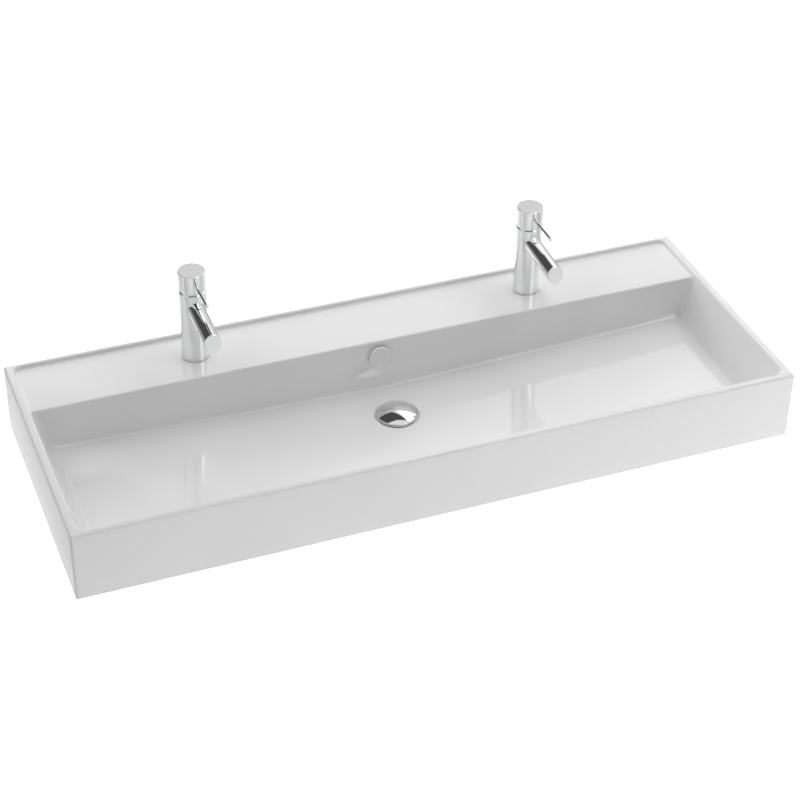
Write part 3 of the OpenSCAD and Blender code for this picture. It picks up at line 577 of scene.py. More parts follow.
def surface_normals(points):
    """Directions in which the upper surface faces at points on it."""
    step = 1e-5
    x, y, z = points.T
    slopes = [
        free_distance(x + dx, y + dy, z + dz) - free_distance(x - dx, y - dy, z - dz)
        for dx, dy, dz in ((step, 0, 0), (0, step, 0), (0, 0, step))
    ]
    normals = np.stack(slopes, axis=1)
    return normals / np.maximum(np.linalg.norm(normals, axis=1, keepdims=True), 1e-12)


def lines(start, *zones):
    """Coordinates of grid lines from a start through zones, each given by its end and its step."""
    values = [start]
    for end, step in zones:
        first = values[-1]
        count = max(1, math.ceil(abs(end - first) / step - 1e-6))
        values += [first + (end - first) * k / count for k in range(1, count + 1)]
    return values


def grid_lines():
    """Grid lines of the upper surface, close together where it bends. Each zone is given by its end
    and the greatest step in it."""
    s = basin()
    inset = s.outer_rounding
    rim = side_x(TOP)
    foot = side_x(TOP - s.bowl_depth) - s.floor_side_rounding
    hole = s.seat / 2 + 0.004
    half = lines(
        0.0, (hole, 0.001), (hole + 0.03, 0.005), (foot, 0.04), (rim - 0.002, 0.0012),
        (rim + s.rim_rounding + 0.0005, 0.00025), (HALF_WIDTH - inset, 0.004),
    )
    across = [-x for x in reversed(half[1:])] + half
    floor = TOP - s.bowl_depth - s.floor_fall
    rear = -s.back_rim_width
    front = front_y(TOP)
    along = lines(
        -inset, (rear + s.rim_rounding, 0.004), (rear - s.deck_rounding - 0.0005, 0.0005),
        (rear - s.corner_rounding, 0.0012), (-s.deck_depth + 0.006, 0.02),
        (-s.deck_depth - 0.0005, 0.0005), (back_y(floor) - s.corner_rounding, 0.0009),
        (WASTE.y + hole, 0.006), (WASTE.y - hole, 0.001),
        (front_y(floor) + s.corner_rounding, 0.02), (front + 0.002, 0.001),
        (front - s.rim_rounding - 0.0005, 0.0005), (-DEPTH + inset, 0.004),
    )
    return across, along


def edge_profile():
    """Outline of the outer edge as (distance out from the flat top, height), from top to base."""
    s = basin()
    out, low = s.outer_rounding, s.base_rounding
    upper = [(out * math.sin(a), TOP - out * (1 - math.cos(a))) for a in QUARTER[1:]]
    lower = [(out - low * (1 - math.cos(a)), BASE + low * (1 - math.sin(a))) for a in QUARTER]
    return upper + lower


def basin_block():
    """Points and faces of the basin as one closed block, with no hollow under it."""
    across, along = grid_lines()
    nx, ny = len(across), len(along)
    x, y = np.meshgrid(np.array(across), np.array(along))
    points = [Vector(p) for p in zip(x.ravel(), y.ravel(), surface_z(x, y).ravel())]
    faces = [
        [j * nx + i, j * nx + i + 1, (j + 1) * nx + i + 1, (j + 1) * nx + i]
        for j in range(ny - 1)
        for i in range(nx - 1)
    ]
    # Every grid point on the border, with the directions in which the outer edge leaves it
    right, rear, left, front = 0.0, math.pi / 2, math.pi, math.pi * 1.5
    around = [(nx - 1, 0, [right + a for a in QUARTER])]
    around += [(i, 0, [rear]) for i in range(nx - 2, 0, -1)]
    around += [(0, 0, [rear + a for a in QUARTER])]
    around += [(0, j, [left]) for j in range(1, ny - 1)]
    around += [(0, ny - 1, [left + a for a in QUARTER])]
    around += [(i, ny - 1, [front]) for i in range(1, nx - 1)]
    around += [(nx - 1, ny - 1, [front + a for a in QUARTER])]
    around += [(nx - 1, j, [right]) for j in range(ny - 2, 0, -1)]
    rows = [[j * nx + i for i, j, ways in around for _ in ways]]
    for out, height in edge_profile():
        rows.append(list(range(len(points), len(points) + len(rows[0]))))
        points += [
            Vector((across[i] + out * math.cos(way), along[j] + out * math.sin(way), height))
            for i, j, ways in around
            for way in ways
        ]
    return points, faces + bands(rows, False) + [rows[-1]]


def underside_space():
    """The open space under the floor, the deck and the bowl's sides."""
    s = basin()
    inner = HALF_WIDTH - s.skirt
    floor_end, floor_mid = TOP - s.bowl_depth, TOP - s.bowl_depth - s.floor_fall
    rise = s.floor_fall / side_x(floor_end)
    end_z, mid_z = floor_mid + rise * inner - s.floor, floor_mid - s.floor
    low = BASE - OVER
    near, far = -s.skirt, -DEPTH + s.skirt
    side_top = TOP - (s.wall + s.skirt - s.rim_width) / math.tan(s.side_slope)
    pocket_x = side_x(end_z) + s.wall
    pocket_foot = mid_z + (end_z - mid_z) * pocket_x / inner
    bend = s.hollow_rounding
    space = prism([
        (-inner, low), (-inner, side_top), (-pocket_x, pocket_foot, bend), (0, mid_z),
        (pocket_x, pocket_foot, bend), (inner, side_top), (inner, low),
    ], far, near, INTO_XZ)
    under = DECK - s.deck
    return carve(space, prism([
        (near, low), (near, under, bend), (back_y(under) + s.wall, under, bend),
        (back_y(mid_z) + s.wall, mid_z), (back_y(mid_z) + s.wall, low),
    ], -inner, inner, INTO_YZ), "UNION")


def overflow_turn():
    """Place of the overflow hole, with Z along the normal of the bowl's back wall."""
    height = TOP - fitting().overflow_drop
    return at(0, back_y(height), height, math.pi / 2 - basin().back_slope)


class WASHBASIN_OT_basin(bpy.types.Operator):
    """Make the ceramic basin"""

    bl_idname = "washbasin.basin"
    bl_label = "Ceramic basin"

    def execute(self, context):
        s, f = basin(), fitting()
        piece = new_piece("ceramic_basin", *basin_block())
        space = underside_space()
        hole_top = TOP - f.overflow_drop + f.overflow_hole / 2
        floor_mid = TOP - s.bowl_depth - s.floor_fall
        front, back = -s.deck_depth + s.wall, -s.deck_depth + s.wall + f.channel_depth
        half, wall = f.channel_width / 2, f.channel_wall
        upper, lower = floor_mid - s.floor, floor_mid - s.floor - f.channel_height
        base = lower - wall
        outer = (-half - wall, half + wall)
        carve(space, slab(outer, (back_y(floor_mid), back + wall), (base, hole_top + wall)))
        carve(space, slab(outer, (WASTE.y, back + wall), (base, upper + s.floor / 2)))
        carve(space, rod(f.boss, base, floor_mid, AT_WASTE, 96))
        carve(piece, space)
        carve(piece, slab((-half, half), (front, back), (lower, hole_top)))
        carve(piece, slab((-half, half), (WASTE.y, back), (lower, upper)))
        carve(piece, rod(
            f.overflow_hole, -s.wall - f.channel_depth / 2, s.wall, overflow_turn(), 96
        ))
        carve(piece, rod(f.waste_hole, BASE - OVER, DECK, AT_WASTE, 96))
        for side in SIDES:
            carve(piece, rod(f.tap_hole, -s.deck - OVER, OVER, tap_place(side), 96))
        for x in (-f.wall_hole_spacing / 2, f.wall_hole_spacing / 2):
            carve(piece, rod(f.wall_hole, -OVER, s.skirt + OVER, at(x, 0, 0, math.pi / 2)))
        self.finish_faces(piece)
        stand_for(piece, "ceramic_glaze", "basin_body")
        return {"FINISHED"}

    def finish_faces(self, piece):
        """Leaves the faces under the basin and along the wall bare, and lets light run evenly over
        the glazed ones."""
        s = basin()
        mesh = piece.data
        smooth(mesh, glaze(), bare_ceramic())
        places = np.empty(len(mesh.vertices) * 3)
        mesh.vertices.foreach_get("co", places)
        places = places.reshape(-1, 3)
        x, y, z = places.T
        tolerance = 2e-6
        on_top = np.abs(free_distance(x, y, z)) < tolerance
        from_side, from_end = HALF_WIDTH - np.abs(x), DEPTH / 2 - np.abs(y + DEPTH / 2)
        inset = round_hollow(from_side, from_end, s.outer_rounding)
        # Bare is what lies inside the rounded outer edges and below the rim
        within = inset > s.base_rounding + 0.0003
        bare = within & ~on_top & (z < TOP - 0.0045)
        even = surface_normals(places)
        corner_normals = np.empty(len(mesh.loops) * 3)
        mesh.corner_normals.foreach_get("vector", corner_normals)
        corner_normals = corner_normals.reshape(-1, 3)
        for face in mesh.polygons:
            corners = list(face.vertices)
            if all(on_top[v] for v in corners):
                for loop, v in zip(face.loop_indices, corners):
                    if np.dot(even[v], face.normal) > 0.3:
                        corner_normals[loop] = even[v]
            elif any(bare[v] for v in corners) or all(places[v][1] > -1e-5 for v in corners):
                face.material_index = 1
        mesh.normals_split_custom_set(corner_normals.tolist())


# Fittings


def tap_place(side):
    """Place of a mixer's axis on the deck."""
    tap = middle(f"{side}_base_gasket")
    return at(tap.x, tap.y, DECK)


def along_spout(place):
    """Place of a spout's root on the mixer's axis, with Z along the spout."""
    f = fitting()
    return place @ at(0, 0, f.spout_height, math.pi / 2 + f.spout_slope)


def along_lever(place):
    """Place of a lever on the mixer's axis, with Z along the lever."""
    return place @ at(0, 0, fitting().lever_height, math.pi / 2)


class WASHBASIN_OT_mixers(bpy.types.Operator):
    """Make the bodies, spouts, caps and levers of both mixers"""

    bl_idname = "washbasin.mixers"
    bl_label = "Mixers"

    def execute(self, context):
        metal = chrome("chrome")
        for side in SIDES:
            place = tap_place(side)
            self.body(side, place, metal)
            self.spout(side, place, metal)
            self.cap(side, place, metal)
            self.lever(side, place, metal)
            self.stud(side, place)
        return {"FINISHED"}

    def body(self, side, place, metal):
        f = fitting()
        radius, edge, seam = f.mixer / 2, f.edge_rounding, f.seam_height
        chamber, neck, neck_low = radius - f.body_wall, radius - f.neck_inset, seam - f.neck_height
        bore, spigot, foot = f.foot_bore / 2, f.spigot / 2, f.foot_height
        body = new_piece(f"{side}_body", *turned([
            (bore, -f.spigot_length, edge), (spigot, -f.spigot_length, edge), (spigot, f.gasket),
            (radius, f.gasket, edge), (radius, neck_low, edge / 2), (neck, neck_low),
            (neck, seam, edge / 2), (chamber, seam, edge / 2), (chamber, f.chamber_floor, edge),
            (0, f.chamber_floor), (0, foot), (bore, foot, edge),
        ], place, 128))
        inlet_depth, stud_depth = 0.014, 0.012
        for x in (-f.inlet_offset, f.inlet_offset):
            inlet = place @ at(x, -f.inlet_offset * 0.86, 0)
            carve(body, rod(f.inlet, foot - OVER, foot + inlet_depth, inlet, 48))
            carve(body, rod(f.inlet / 2, foot, f.chamber_floor + OVER, inlet, 32))
        stud = place @ at(0, f.stud_offset, 0)
        carve(body, rod(f.stud + 2 * PLAY, foot - OVER, foot + stud_depth, stud, 48))
        bore, past = f.spout - 2 * f.spout_wall, 0.004
        carve(body, rod(bore, chamber - past, radius + past, along_spout(place), 64))
        finish(body, metal, "chrome", f"{side}_mixer_body")

    def spout(self, side, place, metal):
        f = fitting()
        radius, bore = f.spout / 2, f.spout / 2 - f.spout_wall
        reach = f.spout_reach / math.cos(f.spout_slope)
        root, inner_end = 0.004, reach - f.spout_end
        points, faces = turned([
            (bore, root), (radius, root), (radius, reach, 0.0006), (0, reach),
            (0, inner_end), (bore, inner_end, f.edge_rounding),
        ])
        # The end face and its rounded edge are sheared, so that they lean back
        lean = math.tan(f.spout_slope + f.spout_tilt)
        for point in points:
            if point.z > reach - 0.001:
                point.z -= point.y * lean
        spout = new_piece(f"{side}_spout_tube", moved(points, along_spout(place)), faces)
        below, above = 0.05, 0.2
        carve(spout, rod(f.mixer - 2 * PLAY, below, above, place, 128))
        outlet = place @ at(0, -f.outlet_reach, 0)
        low = f.spout_height - f.outlet_reach * math.tan(f.spout_slope) - f.spout
        carve(spout, rod(f.aerator + 2 * PLAY, low, low + f.spout, outlet, 64))
        finish(spout, metal, "chrome", f"{side}_spout")

    def cap(self, side, place, metal):
        f = fitting()
        radius, edge = f.mixer / 2, f.edge_rounding
        base, top = f.seam_height + f.cap_gap, f.seam_height + f.cap_gap + f.cap_height
        ceiling, inner = top - f.cap_top, radius - f.cap_wall
        cap = new_piece(f"{side}_cap", *turned([
            (0, ceiling), (inner, ceiling, edge), (inner, base, edge), (radius, base, edge),
            (radius, top, f.cap_rounding), (0, top + f.cap_crown),
        ], place, 128))
        hub_base, socket_depth = f.seam_height + f.hub_lift, 0.016
        carve(cap, rod(f.hub, hub_base, ceiling + OVER, place), "UNION")
        wide = (-f.stem_width / 2 - PLAY, f.stem_width / 2 + PLAY)
        carve(cap, slab(wide, wide, (hub_base - OVER, hub_base + socket_depth), place))
        lever = along_lever(place)
        carve(cap, rod(f.lever_thread + 2 * PLAY, 0, f.mixer, lever, 48))
        seat, bevel, past = f.lever / 2 + PLAY, f.lever / 2 + 0.0005, radius + 0.01
        carve(cap, new_piece("tool", *turned([
            (0, radius - LEVER_SEAT), (seat, radius - LEVER_SEAT), (seat, radius - 0.0002),
            (bevel, radius + 0.0002), (bevel, past), (0, past),
        ], lever, 48)))
        grub = place @ at(0, 0, f.grub_height, -math.pi / 2)
        carve(cap, rod(f.lever_thread + 2 * PLAY, 0, f.mixer, grub, 48))
        # What would meet the body when the cap tilts right back is cut away
        room = f.seam_height - f.pivot_height + 0.0008
        wide = (-f.mixer, f.mixer)
        lifted = place @ at(0, 0, f.pivot_height, f.lever_lift)
        carve(cap, slab(wide, wide, (-2 * f.mixer, room), lifted))
        finish(cap, metal, "chrome", f"{side}_lever_cap")

    def lever(self, side, place, metal):
        f = fitting()
        radius, ball, thin = f.lever / 2, f.lever_tip / 2, f.lever_thread / 2
        reach, seat = f.mixer / 2 + f.lever_reach, f.mixer / 2 - LEVER_SEAT
        start = f.stem_width / 2 + 0.0003
        meet = math.asin(min(0.99, radius / ball))
        arc = [
            (ball * math.sin(a), reach - ball - ball * math.cos(a))
            for a in (meet + (math.pi - meet) * k / 20 for k in range(21))
        ]
        lever = new_piece(f"{side}_lever_pin", *turned([
            (0, start), (thin, start, 0.0003), (thin, seat), (radius, seat, 0.0002),
            (radius, arc[0][1] - 0.0004), *arc[1:-1], (0, reach),
        ], along_lever(place), 48))
        finish(lever, metal, "chrome", f"{side}_lever", limit=50)

    def stud(self, side, place):
        f = fitting()
        low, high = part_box(f"{side}_fixing_stud")
        start, end = low.z - DECK, high.z - DECK
        radius, tip, pitch, depth = f.stud / 2, f.stud / 2 - 0.0007, 0.00125, 0.0006
        stud = new_piece(f"{side}_stud", *threaded(
            radius, pitch, depth, start + depth, end - depth,
            [(tip, end), (0, end), (0, start), (tip, start)], place @ at(0, f.stud_offset, 0), 32
        ))
        metal = worn_metal("plated_steel", (0.45, 0.45, 0.44), 0.32)
        finish(stud, metal, "steel", f"{side}_fixing_stud")


class WASHBASIN_OT_waste(bpy.types.Operator):
    """Make the waste with its plug"""

    bl_idname = "washbasin.waste"
    bl_label = "Waste and plug"

    def execute(self, context):
        self.body()
        self.plug()
        self.nut()
        return {"FINISHED"}

    def body(self):
        f = fitting()
        low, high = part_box("waste_body")
        bore, body, flange, mouth = f.waste_bore / 2, f.waste_body / 2, f.flange / 2, f.mouth / 2
        top, under, step = high.z, high.z - f.flange_thickness, f.body_end
        thread, pitch, depth = f.waste_thread / 2, 0.00231, 0.0012
        waste = new_piece("waste_tube", *threaded(thread, pitch, depth, low.z + 0.0008, step, [
            (body, step, 0.0004), (body, under), (flange, under, 0.0003), (flange, top, 0.0006),
            (mouth, top, 0.0008), (mouth - 0.0035, top - 0.001, 0.0006),
            (bore, top - mouth + bore, 0.001), (bore, low.z, 0.0004), (thread - depth, low.z),
        ], AT_WASTE, 96))
        half, sill = f.window_width / 2, f.window_low
        window = oblong((-half, half), (sill, sill + f.window_height), 0.0015)
        for turn in (45, 135, 225, 315):
            spin = AT_WASTE @ Matrix.Rotation(math.radians(turn), 4, "Z")
            carve(waste, prism(window, 0, f.waste_body, spin @ INTO_YZ))
        arms_top = top - f.arm_depth
        arms_low = arms_top - f.arm_height
        hole, hub = f.click_bore / 2 + PLAY, f.click_bore / 2 + 0.0023
        cross = new_piece("tool", *turned([
            (hole, arms_low, 0.0003), (hub, arms_low, 0.0005), (hub, arms_top, 0.0005),
            (hole, arms_top, 0.0003),
        ], AT_WASTE, 64))
        half = f.arm_thickness / 2
        span = (f.click_bore / 2 + 0.001, bore + 0.001)
        for turn in (0, 120, 240):
            spin = AT_WASTE @ Matrix.Rotation(math.radians(turn), 4, "Z")
            arm = slab(span, (-half, half), (arms_low + 0.0002, arms_top - 0.0002), spin)
            carve(cross, arm, "UNION")
        carve(waste, cross, "UNION")
        finish(waste, chrome("waste_chrome"), "chrome", "waste_body")

    def plug(self):
        f = fitting()
        low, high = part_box("plug_cap")
        edge = high.z - f.plug_rise - f.plug_edge
        radius, rise = (high.x - low.x) / 2, f.plug_rise
        sphere = (radius ** 2 + rise ** 2) / (2 * rise)
        reach = radius - f.plug_shoulder
        steps = 24
        dome = [
            (r, high.z - sphere + math.sqrt(sphere ** 2 - r ** 2))
            for r in (reach * (1 - k / steps) for k in range(1, steps + 1))
        ]
        boss, stem = f.plug_stem, f.plug_stem / 2 + PLAY
        recess, lip = edge + 0.0015, radius - 0.0025
        plug = new_piece("plug_dome", *turned([
            (stem, low.z), (boss, low.z, 0.0004), (boss, recess), (lip, recess),
            (lip, edge, 0.0003), (radius, edge, 0.0005),
            (radius, high.z - rise, f.plug_shoulder), *dome,
            (0, edge + f.plug_edge), (stem, edge + f.plug_edge),
        ], AT_WASTE, 128))
        finish(plug, chrome("plug_chrome"), "chrome", "plug_cap")

    def nut(self):
        low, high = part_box("waste_lock_nut")
        flats = (high.y - low.y) / 2
        corner = flats / math.cos(math.pi / 6)
        chamfer = corner - flats
        bore = fitting().waste_body / 2 + PLAY
        nut = new_piece("waste_nut", *turned([
            (bore, low.z, 0.0006), (corner - chamfer, low.z), (corner, low.z + chamfer * 0.5),
            (corner, high.z - chamfer * 0.5), (corner - chamfer, high.z), (bore, high.z, 0.0006),
        ], AT_WASTE, 96))
        angles = [math.radians(60 * k) for k in range(6)]
        hexagon = [(corner * math.cos(a), corner * math.sin(a), 0.0006) for a in angles]
        carve(nut, prism(hexagon, low.z - OVER, high.z + OVER, AT_WASTE), "INTERSECT")
        metal = worn_metal("yellow_brass", (0.62, 0.46, 0.20), 0.28)
        finish(nut, metal, "brass", "waste_lock_nut")


class WASHBASIN_OT_overflow(bpy.types.Operator):
    """Make the overflow's cover"""

    bl_idname = "washbasin.overflow"
    bl_label = "Overflow cover"

    def execute(self, context):
        f = fitting()
        radius, start, end = f.cover / 2, f.cover_gap, f.cover_gap + f.cover_thickness
        neck, stem = f.cover_stem / 2 + 0.002, f.cover_stem / 2
        shares = (0.85, 0.7, 0.55, 0.4, 0.25, 0.1)
        face = [(radius * t, end + f.cover_crown * (1 - t * t)) for t in shares]
        cover = new_piece("overflow_disc", *turned([
            (0, -0.006), (stem, -0.006, 0.0005), (stem, -0.003), (neck, -0.003, 0.0005),
            (neck, start, 0.0008), (radius, start, 0.0012), (radius, end, 0.0016), *face,
            (0, end + f.cover_crown),
        ], overflow_turn(), 96))
        white = plastic("white_moulding", f.plastic_colour, 0.22)
        finish(cover, white, "white_plastic", "overflow_cover")
        return {"FINISHED"}


class WASHBASIN_OT_small_parts(bpy.types.Operator):
    """Finish the parts inside and under the basin"""

    bl_idname = "washbasin.small_parts"
    bl_label = "Small parts"

    def execute(self, context):
        finishes = {
            "chrome": chrome("trim_chrome"),
            "steel": worn_metal("bright_steel", (0.52, 0.52, 0.51), 0.28),
            "brass": worn_metal("brass", (0.62, 0.46, 0.20), 0.30),
            "rubber": rubber(),
            "white_plastic": plastic("overflow_moulding", fitting().plastic_colour, 0.25),
            "pale_plastic": plastic("pale_moulding", (0.72, 0.72, 0.69), 0.35),
            "grey_plastic": plastic("grey_moulding", (0.24, 0.25, 0.26), 0.40),
            "disc_ceramic": plastic("ground_ceramic", (0.82, 0.80, 0.76), 0.18),
            "ceramic_glaze": glaze(),
        }
        for node in frame["nodes"].values():
            if node.hide_render:
                continue
            for place in node.material_slots:
                place.material = finishes[place.material.name.split(".")[0]]
        return {"FINISHED"}


# Finishes


def add_node(tree, kind, *inputs, **named):
    """A node with its inputs set in order or by name, each to a value or a node's output."""
    made = tree.nodes.new(kind)
    slots = [*zip(made.inputs, inputs)]
    slots += [(made.inputs[name.replace("_", " ")], value) for name, value in named.items()]
    for slot, value in slots:
        if isinstance(value, bpy.types.NodeSocket):
            tree.links.new(value, slot)
        else:
            slot.default_value = value
    return made


class Finish:
    """A material under construction."""

    def __init__(self, name, base, roughness, metallic=0.0, **values):
        self.material = bpy.data.materials.new(name)
        self.material.use_nodes = True
        self.tree = self.material.node_tree
        self.shader = self.tree.nodes["Principled BSDF"]
        self.set("Base Color", (*base, 1))
        self.set("Roughness", roughness)
        self.set("Metallic", metallic)
        for name, value in values.items():
            self.set(name.replace("_", " "), value)
        self.place = self.node("ShaderNodeTexCoord").outputs["Object"]

    def set(self, name, value):
        self.shader.inputs[name].default_value = value

    def node(self, kind, **inputs):
        return add_node(self.tree, kind, **inputs)

    def grain(self, scale, detail, stretch=(1, 1, 1)):
        """Noise from nought to one; scale is its number of spots in a metre."""
        spread = self.node("ShaderNodeMapping", Vector=self.place, Scale=stretch).outputs["Vector"]
        noise = self.node("ShaderNodeTexNoise", Vector=spread, Scale=scale, Detail=detail)
        return noise.outputs["Fac"]

    def between(self, source, low, high):
        """A value that goes from low to high with noise, most of which lies from 0.3 to 0.7."""
        return self.node(
            "ShaderNodeMapRange", Value=source, From_Min=0.3, From_Max=0.7, To_Min=low, To_Max=high
        ).outputs["Result"]

    def tones(self, source, first, second):
        """A colour between two with a source."""
        made = self.node("ShaderNodeMix")
        made.data_type = "RGBA"
        self.tree.links.new(self.between(source, 0, 1), made.inputs[0])
        made.inputs[6].default_value = (*first, 1)
        made.inputs[7].default_value = (*second, 1)
        self.tree.links.new(made.outputs[2], self.shader.inputs["Base Color"])

    def gloss(self, source, low, high):
        """Roughness between two values with a source."""
        self.tree.links.new(self.between(source, low, high), self.shader.inputs["Roughness"])

    def relief(self, source, height, strength=1.0):
        """Bumps of a height."""
        made = self.node("ShaderNodeBump", Height=source, Distance=height, Strength=strength)
        self.tree.links.new(made.outputs["Normal"], self.shader.inputs["Normal"])


def scaled(base, factor):
    """A colour made lighter or darker."""
    return tuple(min(1.0, c * factor) for c in base)


def surface(name, base, roughness, tones, gloss, relief, stretch=(1, 1, 1), **values):
    """A material with three layers of noise, each given by scale and detail and what it varies:
    tones by two colours, gloss by two roughnesses, relief by height and strength. The noise of the
    last two is stretched."""
    made = Finish(name, base, roughness, **values)
    made.tones(made.grain(*tones[:2]), *tones[2:])
    made.gloss(made.grain(*gloss[:2], stretch), *gloss[2:])
    made.relief(made.grain(*relief[:2], stretch), *relief[2:])
    return made.material


def glaze():
    """White glaze: glossy, with a hardly visible waviness and tone."""
    base = basin().glaze_colour
    tones = (6, 2, scaled(base, 0.985), scaled(base, 1.01))
    gloss, relief = (30, 4, 0.045, 0.075), (90, 2, 0.00004, 0.5)
    return surface("glaze", base, 0.06, tones, gloss, relief, IOR=1.6)


def bare_ceramic():
    """Fired ceramic without glaze."""
    base = basin().bisque_colour
    tones = (40, 6, scaled(base, 0.88), scaled(base, 1.06))
    return surface("bare_ceramic", base, 0.8, tones, (200, 4, 0.7, 0.9), (700, 5, 0.0003, 0.6))


def chrome(name):
    """Polished chrome plating."""
    base = fitting().chrome_colour
    tones = (25, 3, scaled(base, 0.97), scaled(base, 1.02))
    gloss = (60, 4, 0.035, 0.075)
    return surface(name, base, 0.05, tones, gloss, (120, 2, 0.00002, 0.3), metallic=1.0)


def worn_metal(name, base, roughness):
    """Turned or plated metal with fine tool marks."""
    tones = (120, 5, scaled(base, 0.85), scaled(base, 1.1))
    gloss = (300, 4, roughness * 0.8, roughness * 1.3)
    relief = (500, 3, 0.0001, 0.4)
    return surface(name, base, roughness, tones, gloss, relief, (1, 1, 12), metallic=1.0)


def plastic(name, base, roughness):
    """Moulded plastic."""
    tones = (50, 3, scaled(base, 0.97), scaled(base, 1.02))
    gloss = (150, 4, roughness * 0.85, roughness * 1.2)
    return surface(name, base, roughness, tones, gloss, (900, 2, 0.00003, 0.5), IOR=1.48)


def rubber():
    """Black rubber with a dull bloom."""
    tones = (150, 5, (0.025, 0.025, 0.026), (0.06, 0.06, 0.062))
    gloss, relief = (400, 4, 0.5, 0.75), (1200, 4, 0.0001, 0.6)
    return surface("rubber", (0.035, 0.035, 0.036), 0.6, tones, gloss, relief)


# Stage


def direction(azimuth, elevation):
    """A direction from the basin: azimuth nought is in front of it, a quarter turn at its right."""
    level = math.cos(elevation)
    return Vector((math.sin(azimuth) * level, -math.cos(azimuth) * level, math.sin(elevation)))


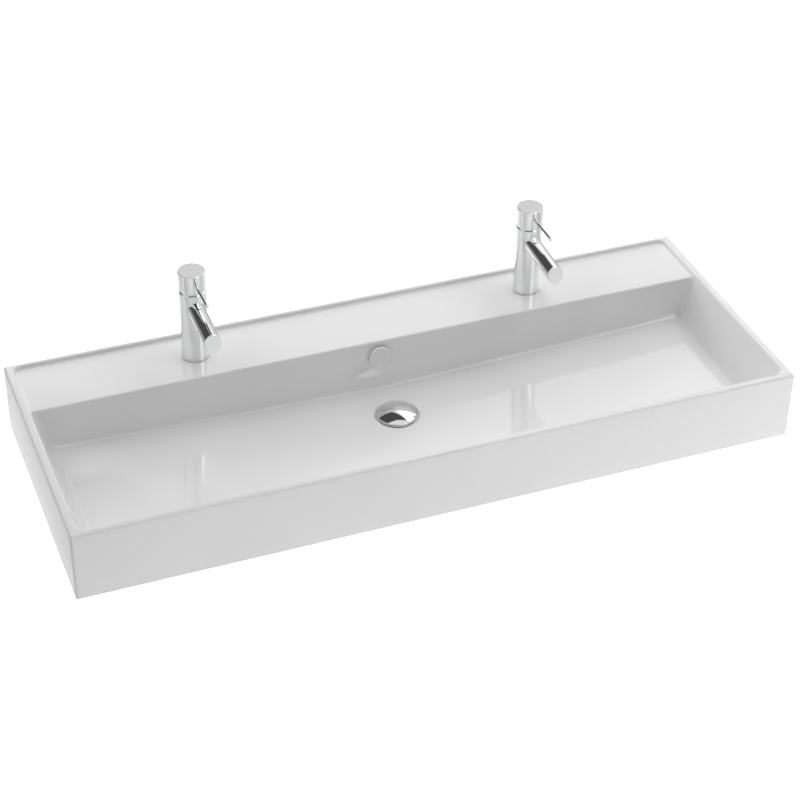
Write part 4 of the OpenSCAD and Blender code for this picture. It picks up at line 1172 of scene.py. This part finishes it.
class WASHBASIN_OT_stage(bpy.types.Operator):
    """Make the floor, the lamps and the camera"""

    bl_idname = "washbasin.stage"
    bl_label = "Stage"

    def execute(self, context):
        context.scene.view_settings.view_transform = "Standard"
        self.camera()
        self.world()
        self.floor()
        self.lamps()
        self.cards()
        return {"FINISHED"}

    def camera(self):
        s = studio()
        back = direction(s.camera_azimuth, s.camera_elevation)
        level = Vector((0, 0, 1)).cross(back).normalized()
        upright = back.cross(level)
        right = math.cos(s.camera_roll) * level + math.sin(s.camera_roll) * upright
        up = -math.sin(s.camera_roll) * level + math.cos(s.camera_roll) * upright
        camera = bpy.data.objects.new("camera", bpy.data.cameras.new("camera"))
        bpy.context.scene.collection.objects.link(camera)
        camera.data.lens = s.lens
        camera.data.clip_end = 40
        turn = Matrix((right, up, back)).transposed().to_4x4()
        camera.matrix_world = Matrix.Translation(s.camera_place) @ turn
        bpy.context.scene.camera = camera

    def world(self):
        """An even light on the object, brighter where the camera or a reflection sees it."""
        world = bpy.data.worlds.new("studio")
        world.use_nodes = True
        bpy.context.scene.world = world
        tree = world.node_tree
        tree.nodes.clear()
        path = add_node(tree, "ShaderNodeLightPath")
        seen = path.outputs["Is Camera Ray"]
        for name in ("Is Glossy Ray", "Is Transmission Ray"):
            either = add_node(tree, "ShaderNodeMath", seen, path.outputs[name])
            either.operation = "MAXIMUM"
            seen = either.outputs[0]
        level = add_node(
            tree, "ShaderNodeMapRange", Value=seen, To_Min=studio().world_light, To_Max=1.0
        )
        light = add_node(tree, "ShaderNodeBackground", Strength=level.outputs["Result"])
        add_node(tree, "ShaderNodeOutputWorld", Surface=light.outputs[0])

    def floor(self):
        """A pale floor that takes shadows, with white added where the camera looks at it."""
        s = studio()
        height, half = BASE - s.floor_drop, 12.0
        corners = [(x, y, height) for x, y, _ in oblong((-half, half), (-half, half))]
        floor = new_piece("studio_floor", corners, [(0, 1, 2, 3)])
        made = Finish("studio_floor", s.floor_colour, 0.9)
        tree = made.tree
        seen = add_node(tree, "ShaderNodeLightPath").outputs["Is Camera Ray"]
        times = add_node(tree, "ShaderNodeMath", seen, s.floor_glow)
        times.operation = "MULTIPLY"
        glow = add_node(tree, "ShaderNodeEmission", Strength=times.outputs[0])
        both = add_node(tree, "ShaderNodeAddShader", made.shader.outputs["BSDF"], glow.outputs[0])
        tree.links.new(both.outputs[0], tree.nodes["Material Output"].inputs["Surface"])
        floor.data.materials.append(made.material)

    def lamps(self):
        s = studio()
        self.area("back_lamp", 180, 15, 1.6, s.back_light)
        self.area("back_left_lamp", 225, 45, 2.2, s.back_left_light)
        self.area("back_right_lamp", 140, 45, 2.2, s.back_right_light)
        self.area("top_lamp", 90, 72, 2.2, s.top_light)
        self.area("right_lamp", 90, 45, 1.2, s.right_light)
        self.area("key_lamp", 75, 50, 0.7, s.key_light)
        self.area("left_lamp", 315, 15, 1.2, s.left_light)
        self.area("side_lamp", 270, 50, 1.2, s.side_light)
        self.area("front_lamp", 0, -12, 0.8, s.front_light)
        self.area("front_right_lamp", 60, -12, 0.8, s.front_right_light)

    def area(self, name, azimuth, elevation, width, power):
        """A square lamp aimed at the basin from a direction in degrees."""
        lamp = bpy.data.lights.new(name, "AREA")
        lamp.shape = "SQUARE"
        lamp.size = width
        lamp.energy = power
        made = bpy.data.objects.new(name, lamp)
        bpy.context.scene.collection.objects.link(made)
        aim = -direction(math.radians(azimuth), math.radians(elevation))
        made.location = Vector((0, -DEPTH / 2, 0)) - LAMP_DISTANCE * aim
        made.rotation_euler = aim.to_track_quat("-Z", "Y").to_euler()
        made.visible_camera = False
        made.visible_glossy = False

    def cards(self):
        """Cards that only reflections see, for the tones in the chrome."""
        s = studio()
        self.card("soft_box", s.soft_box, 4.2, [
            (0.25, 0.74, 0.62), (0.655, 0.616, 0.44), (0.86, 0.26, 0.44), (0.74, -0.10, 0.66),
            (0.44, 0.25, 0.865),
        ])
        self.card("back_card", s.back_card, 4.4, [
            (-0.30, 0.95, 0.02), (0.75, 0.66, 0.02), (0.72, 0.56, 0.42), (0.25, 0.72, 0.66),
            (-0.30, 0.75, 0.60),
        ])
        self.card("front_box", s.front_box, 4.0, [
            (-0.05, -0.76, 0.65), (0.25, -0.86, 0.44), (0.66, -0.56, 0.50), (0.42, -0.24, 0.88),
            (0.0, -0.32, 0.95),
        ])
        self.card("dark_card", s.dark_card, 4.0, [
            (0.19, 0.70, 0.69), (0.06, 0.80, 0.60), (-0.10, 0.83, 0.55), (-0.30, 0.83, 0.47),
            (-0.55, 0.80, 0.05), (-0.80, 0.58, 0.02), (-0.80, 0.40, 0.45), (-0.55, 0.30, 0.80),
            (-0.10, 0.33, 0.94), (0.15, 0.33, 0.93), (0.44, 0.25, 0.865),
        ])
        self.card("black_card", s.black_card, 3.8, [
            (-0.739, -0.537, 0.407), (-0.582, -0.423, 0.695), (0.281, -0.662, 0.695),
            (0.351, -0.827, 0.438),
        ])

    def card(self, name, level, distance, corners):
        """A card of even brightness, with its corners in given directions from the basin."""
        ways = [Vector(corner).normalized() for corner in corners]
        middle_way = sum(ways, Vector()).normalized()
        points = [CARD_CENTRE + way * distance for way in [middle_way] + ways]
        count = len(ways)
        card = new_piece(name, points, [(0, 1 + k, 1 + (k + 1) % count) for k in range(count)])
        material = bpy.data.materials.new(name)
        material.use_nodes = True
        tree = material.node_tree
        tree.nodes.remove(tree.nodes["Principled BSDF"])
        glow = add_node(tree, "ShaderNodeEmission", Strength=level)
        tree.links.new(glow.outputs[0], tree.nodes["Material Output"].inputs["Surface"])
        card.data.materials.append(material)
        card.visible_camera = False
        card.visible_diffuse = False
        card.visible_shadow = False
        card.visible_volume_scatter = False


PIECES = (
    WASHBASIN_OT_basin, WASHBASIN_OT_mixers, WASHBASIN_OT_waste, WASHBASIN_OT_overflow,
    WASHBASIN_OT_small_parts, WASHBASIN_OT_stage,
)


class WASHBASIN_PT_panel(bpy.types.Panel):
    """Lists the pieces of the washbasin"""

    bl_idname = "WASHBASIN_PT_panel"
    bl_label = "Washbasin"
    bl_space_type = "VIEW_3D"
    bl_region_type = "UI"
    bl_category = "Washbasin"

    def draw(self, context):
        for piece in PIECES:
            self.layout.operator(piece.bl_idname)
        for group in (basin(), fitting(), studio()):
            column = self.layout.column()
            for name in group.bl_rna.properties.keys():
                if name not in ("rna_type", "name"):
                    column.prop(group, name)


CLASSES = (BasinSettings, FittingSettings, StudioSettings, *PIECES, WASHBASIN_PT_panel)


def register():
    for item in CLASSES:
        bpy.utils.register_class(item)
    bpy.types.Scene.washbasin_basin = PointerProperty(type=BasinSettings)
    bpy.types.Scene.washbasin_fitting = PointerProperty(type=FittingSettings)
    bpy.types.Scene.washbasin_studio = PointerProperty(type=StudioSettings)


def unregister():
    del bpy.types.Scene.washbasin_studio
    del bpy.types.Scene.washbasin_fitting
    del bpy.types.Scene.washbasin_basin
    for item in reversed(CLASSES):
        bpy.utils.unregister_class(item)


def main():
    register()
    bpy.ops.washbasin.basin()
    bpy.ops.washbasin.mixers()
    bpy.ops.washbasin.waste()
    bpy.ops.washbasin.overflow()
    bpy.ops.washbasin.small_parts()
    bpy.ops.washbasin.stage()


if __name__ == "__main__":
    main()
